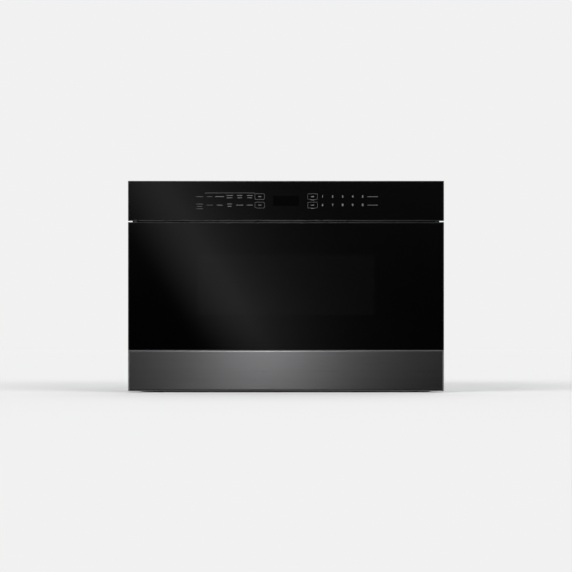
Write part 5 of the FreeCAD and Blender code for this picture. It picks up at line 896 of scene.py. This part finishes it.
class DRAWER_OT_studio(Operator):
    """Set the floor, the soft world, the dark card that the glass mirrors, the lamps and the camera"""

    bl_idname = "drawer.studio"
    bl_label = "Studio"

    def execute(self, context):
        s = context.scene.drawer_studio
        self.make_world(context, s)
        self.make_floor(s)
        self.make_card(s)
        self.make_lamps(s)
        self.make_camera(context, s)
        context.scene.view_settings.view_transform = "Standard"
        return {"FINISHED"}

    def make_world(self, context, s):
        """A pale background for the camera, mirrors and glass, and soft light on everything else."""
        world = bpy.data.worlds.new("studio_world")
        world.use_nodes = True
        tree = world.node_tree
        paths = add(tree, "ShaderNodeLightPath")
        through = calc(tree, "MAXIMUM", paths.outputs["Is Glossy Ray"], paths.outputs["Is Transmission Ray"])
        seen = calc(tree, "MAXIMUM", paths.outputs["Is Camera Ray"], through)
        shade = mixed(tree, seen, (s.world_strength,) * 3, s.background)
        tree.links.new(shade, tree.nodes["Background"].inputs["Color"])
        context.scene.world = world

    def make_floor(self, s):
        """A wide plain floor that keeps the object's shadow and far off takes the background's colour."""
        data = bpy.data.meshes.new("floor")
        corners = [(FLOOR_REACH * x, FLOOR_REACH * y, 0) for x, y in ((-1, -1), (1, -1), (1, 1), (-1, 1))]
        data.from_pydata(corners, [], [(0, 1, 2, 3)])
        made, tree, shader = material("floor_paper", Roughness=0.95, Specular_IOR_Level=0.0)
        grain = noise(tree, place(tree), scale=3.0, detail=3.0)
        paper = mixed(tree, grain, scaled(s.floor, 1 - PAPER_GRAIN), scaled(s.floor, 1 + PAPER_GRAIN))
        linked(tree, shader, "Base Color", paper)
        off = add(tree, "ShaderNodeVectorMath", {0: place(tree)}, operation="LENGTH").outputs["Value"]
        far = ranged(tree, off, low=0.0, high=1.0, from_low=FLOOR_FADE_START, from_high=FLOOR_FADE_END)
        seen = add(tree, "ShaderNodeLightPath").outputs["Is Camera Ray"]
        glow = add(tree, "ShaderNodeEmission", {"Color": opaque(s.background), "Strength": 1.0})
        joined = add(tree, "ShaderNodeMixShader", {0: product(tree, far, seen)})
        tree.links.new(shader.outputs["BSDF"], joined.inputs[1])
        tree.links.new(glow.outputs["Emission"], joined.inputs[2])
        tree.links.new(joined.outputs["Shader"], tree.nodes["Material Output"].inputs["Surface"])
        data.materials.append(made)
        new_object("floor", data)

    def make_card(self, s):
        """A curved card in front of the drawer and over the floor there, that only mirrors see."""
        card = new_object("mirror_card", self.card_mesh(s))
        card.data.materials.append(self.card_print(s))
        card.visible_camera = False
        card.visible_diffuse = False
        card.visible_shadow = False
        card.visible_transmission = False
        card.visible_volume_scatter = False

    def card_mesh(self, s):
        """The floor part, out to the wall, and the wall, bent round the front."""
        data = bpy.data.meshes.new("mirror_card")
        build = bmesh.new()
        columns = []
        for i in range(s.card_sides + 1):
            angle = -s.card_turn + 2 * s.card_turn * i / s.card_sides
            x, y = s.card_radius * math.sin(angle), -s.card_radius * math.cos(angle)
            points = ((x, CARD_START_Y, CARD_RISE), (x, y, CARD_RISE), (x, y, s.card_height))
            columns.append([build.verts.new(point) for point in points])
        for left, right in zip(columns, columns[1:]):
            build.faces.new((left[0], right[0], right[1], left[1]))
            build.faces.new((left[1], right[1], right[2], left[2]))
        build.to_mesh(data)
        build.free()
        return data

    def card_print(self, s):
        """Dark low down and lighter higher up, with a slanting pale band and a paler floor part."""
        made = bpy.data.materials.new("mirror_card_print")
        made.use_nodes = True
        tree = made.node_tree
        tree.nodes.remove(tree.nodes["Principled BSDF"])
        split = add(tree, "ShaderNodeSeparateXYZ", {"Vector": place(tree)})
        across, back, up = split.outputs["X"], split.outputs["Y"], split.outputs["Z"]

        along = calc(tree, "ADD", across, product(tree, up, BAND_SLANT))
        rising = eased(tree, along, BAND_START, BAND_FULL)
        past = calc(tree, "MAXIMUM", calc(tree, "SUBTRACT", along, BAND_FALL_START), 0.0)
        falling = calc(tree, "EXPONENT", calc(tree, "DIVIDE", past, -BAND_FALL))
        sheen = product(tree, rising, falling)

        below_top = eased(tree, up, *TOP_FADE)
        on_wall = product(tree, eased(tree, up, *WALL_RISE), eased(tree, up, *BAND_RISE), below_top)
        higher = product(tree, eased(tree, up, *HIGHER_RISE), below_top)
        on_floor = ranged(tree, up, 1.0, 0.0, *WALL_RISE)
        further = eased(tree, back, POOL_START, POOL_FULL)
        pool = product(tree, ranged(tree, sheen, low=FLOOR_LEAST, high=1.0), on_floor, further)

        shade = mixed(tree, higher, s.card_dark, s.card_top)
        shade = mixed(tree, pool, shade, s.card_floor)
        shade = mixed(tree, product(tree, sheen, on_wall), shade, s.card_pale)
        glow = add(tree, "ShaderNodeEmission", {"Color": shade, "Strength": 1.0})
        tree.links.new(glow.outputs["Emission"], tree.nodes["Material Output"].inputs["Surface"])
        return made

    def make_lamps(self, s):
        """Three broad lights, and the tall lamp that lights the front's metal alone."""
        broad_light("left_light", s.side_light, FROM_LEFT)
        broad_light("right_light", s.side_light * RIGHT_SHARE, FROM_RIGHT)
        broad_light("back_light", s.back_light, FROM_BEHIND)
        column = lamp("column_lamp", s.column_power, COLUMN_WIDTH, COLUMN_HEIGHT, COLUMN_AT, COLUMN_TOWARDS)
        column.visible_diffuse = False
        lit = bpy.data.collections.new("front_metal_pieces")
        for name in ("lower_strip", "door_trim", "control_trim"):
            lit.objects.link(NODES[name])
        column.light_linking.receiver_collection = lit

    def make_camera(self, context, s):
        """Straight on and level with the front's middle, so far back that the view is nearly flat."""
        data = bpy.data.cameras.new("camera")
        made = new_object("camera", data)
        made.location = (0.0, FRONT_Y - s.camera_distance, FRONT_MIDDLE_Z)
        made.rotation_euler = (math.pi / 2, 0.0, 0.0)
        seen_width = (PANEL_HIGH[0] - PANEL_LOW[0]) * PICTURE_PIXELS / FRONT_PIXELS
        data.lens = data.sensor_width * s.camera_distance / seen_width
        data.clip_end = 100.0
        context.scene.camera = made


# ---------------------------------------------------------------- the panel and the run
class DRAWER_PT_tools(Panel):
    """Lists the drawer's operators"""

    bl_label = "Microwave Drawer"
    bl_idname = "DRAWER_PT_tools"
    bl_space_type = "VIEW_3D"
    bl_region_type = "UI"
    bl_category = "Drawer"

    def draw(self, context):
        for operator in OPERATORS:
            self.layout.operator(operator.bl_idname)
        for group in ("drawer_legends", "drawer_finishes", "drawer_studio"):
            settings = getattr(context.scene, group)
            box = self.layout.box()
            for name in settings.bl_rna.properties.keys():
                if name not in ("rna_type", "name"):
                    box.prop(settings, name)


OPERATORS = (
    DRAWER_OT_front_glass,
    DRAWER_OT_front_metal,
    DRAWER_OT_key_printing,
    DRAWER_OT_door_inside,
    DRAWER_OT_pan,
    DRAWER_OT_slides,
    DRAWER_OT_drive,
    DRAWER_OT_case,
    DRAWER_OT_cooking_parts,
    DRAWER_OT_electrics,
    DRAWER_OT_studio,
)
SETTINGS = (LegendSettings, FinishSettings, StudioSettings)


def register():
    for made in SETTINGS + OPERATORS + (DRAWER_PT_tools,):
        bpy.utils.register_class(made)
    bpy.types.Scene.drawer_legends = PointerProperty(type=LegendSettings)
    bpy.types.Scene.drawer_finishes = PointerProperty(type=FinishSettings)
    bpy.types.Scene.drawer_studio = PointerProperty(type=StudioSettings)


def unregister():
    del bpy.types.Scene.drawer_studio
    del bpy.types.Scene.drawer_finishes
    del bpy.types.Scene.drawer_legends
    for made in reversed(SETTINGS + OPERATORS + (DRAWER_PT_tools,)):
        bpy.utils.unregister_class(made)


def main():
    register()
    bpy.ops.drawer.front_glass()
    bpy.ops.drawer.front_metal()
    bpy.ops.drawer.key_printing()
    bpy.ops.drawer.door_inside()
    bpy.ops.drawer.pan()
    bpy.ops.drawer.slides()
    bpy.ops.drawer.drive()
    bpy.ops.drawer.case()
    bpy.ops.drawer.cooking_parts()
    bpy.ops.drawer.electrics()
    bpy.ops.drawer.studio()


if __name__ == "__main__":
    main()
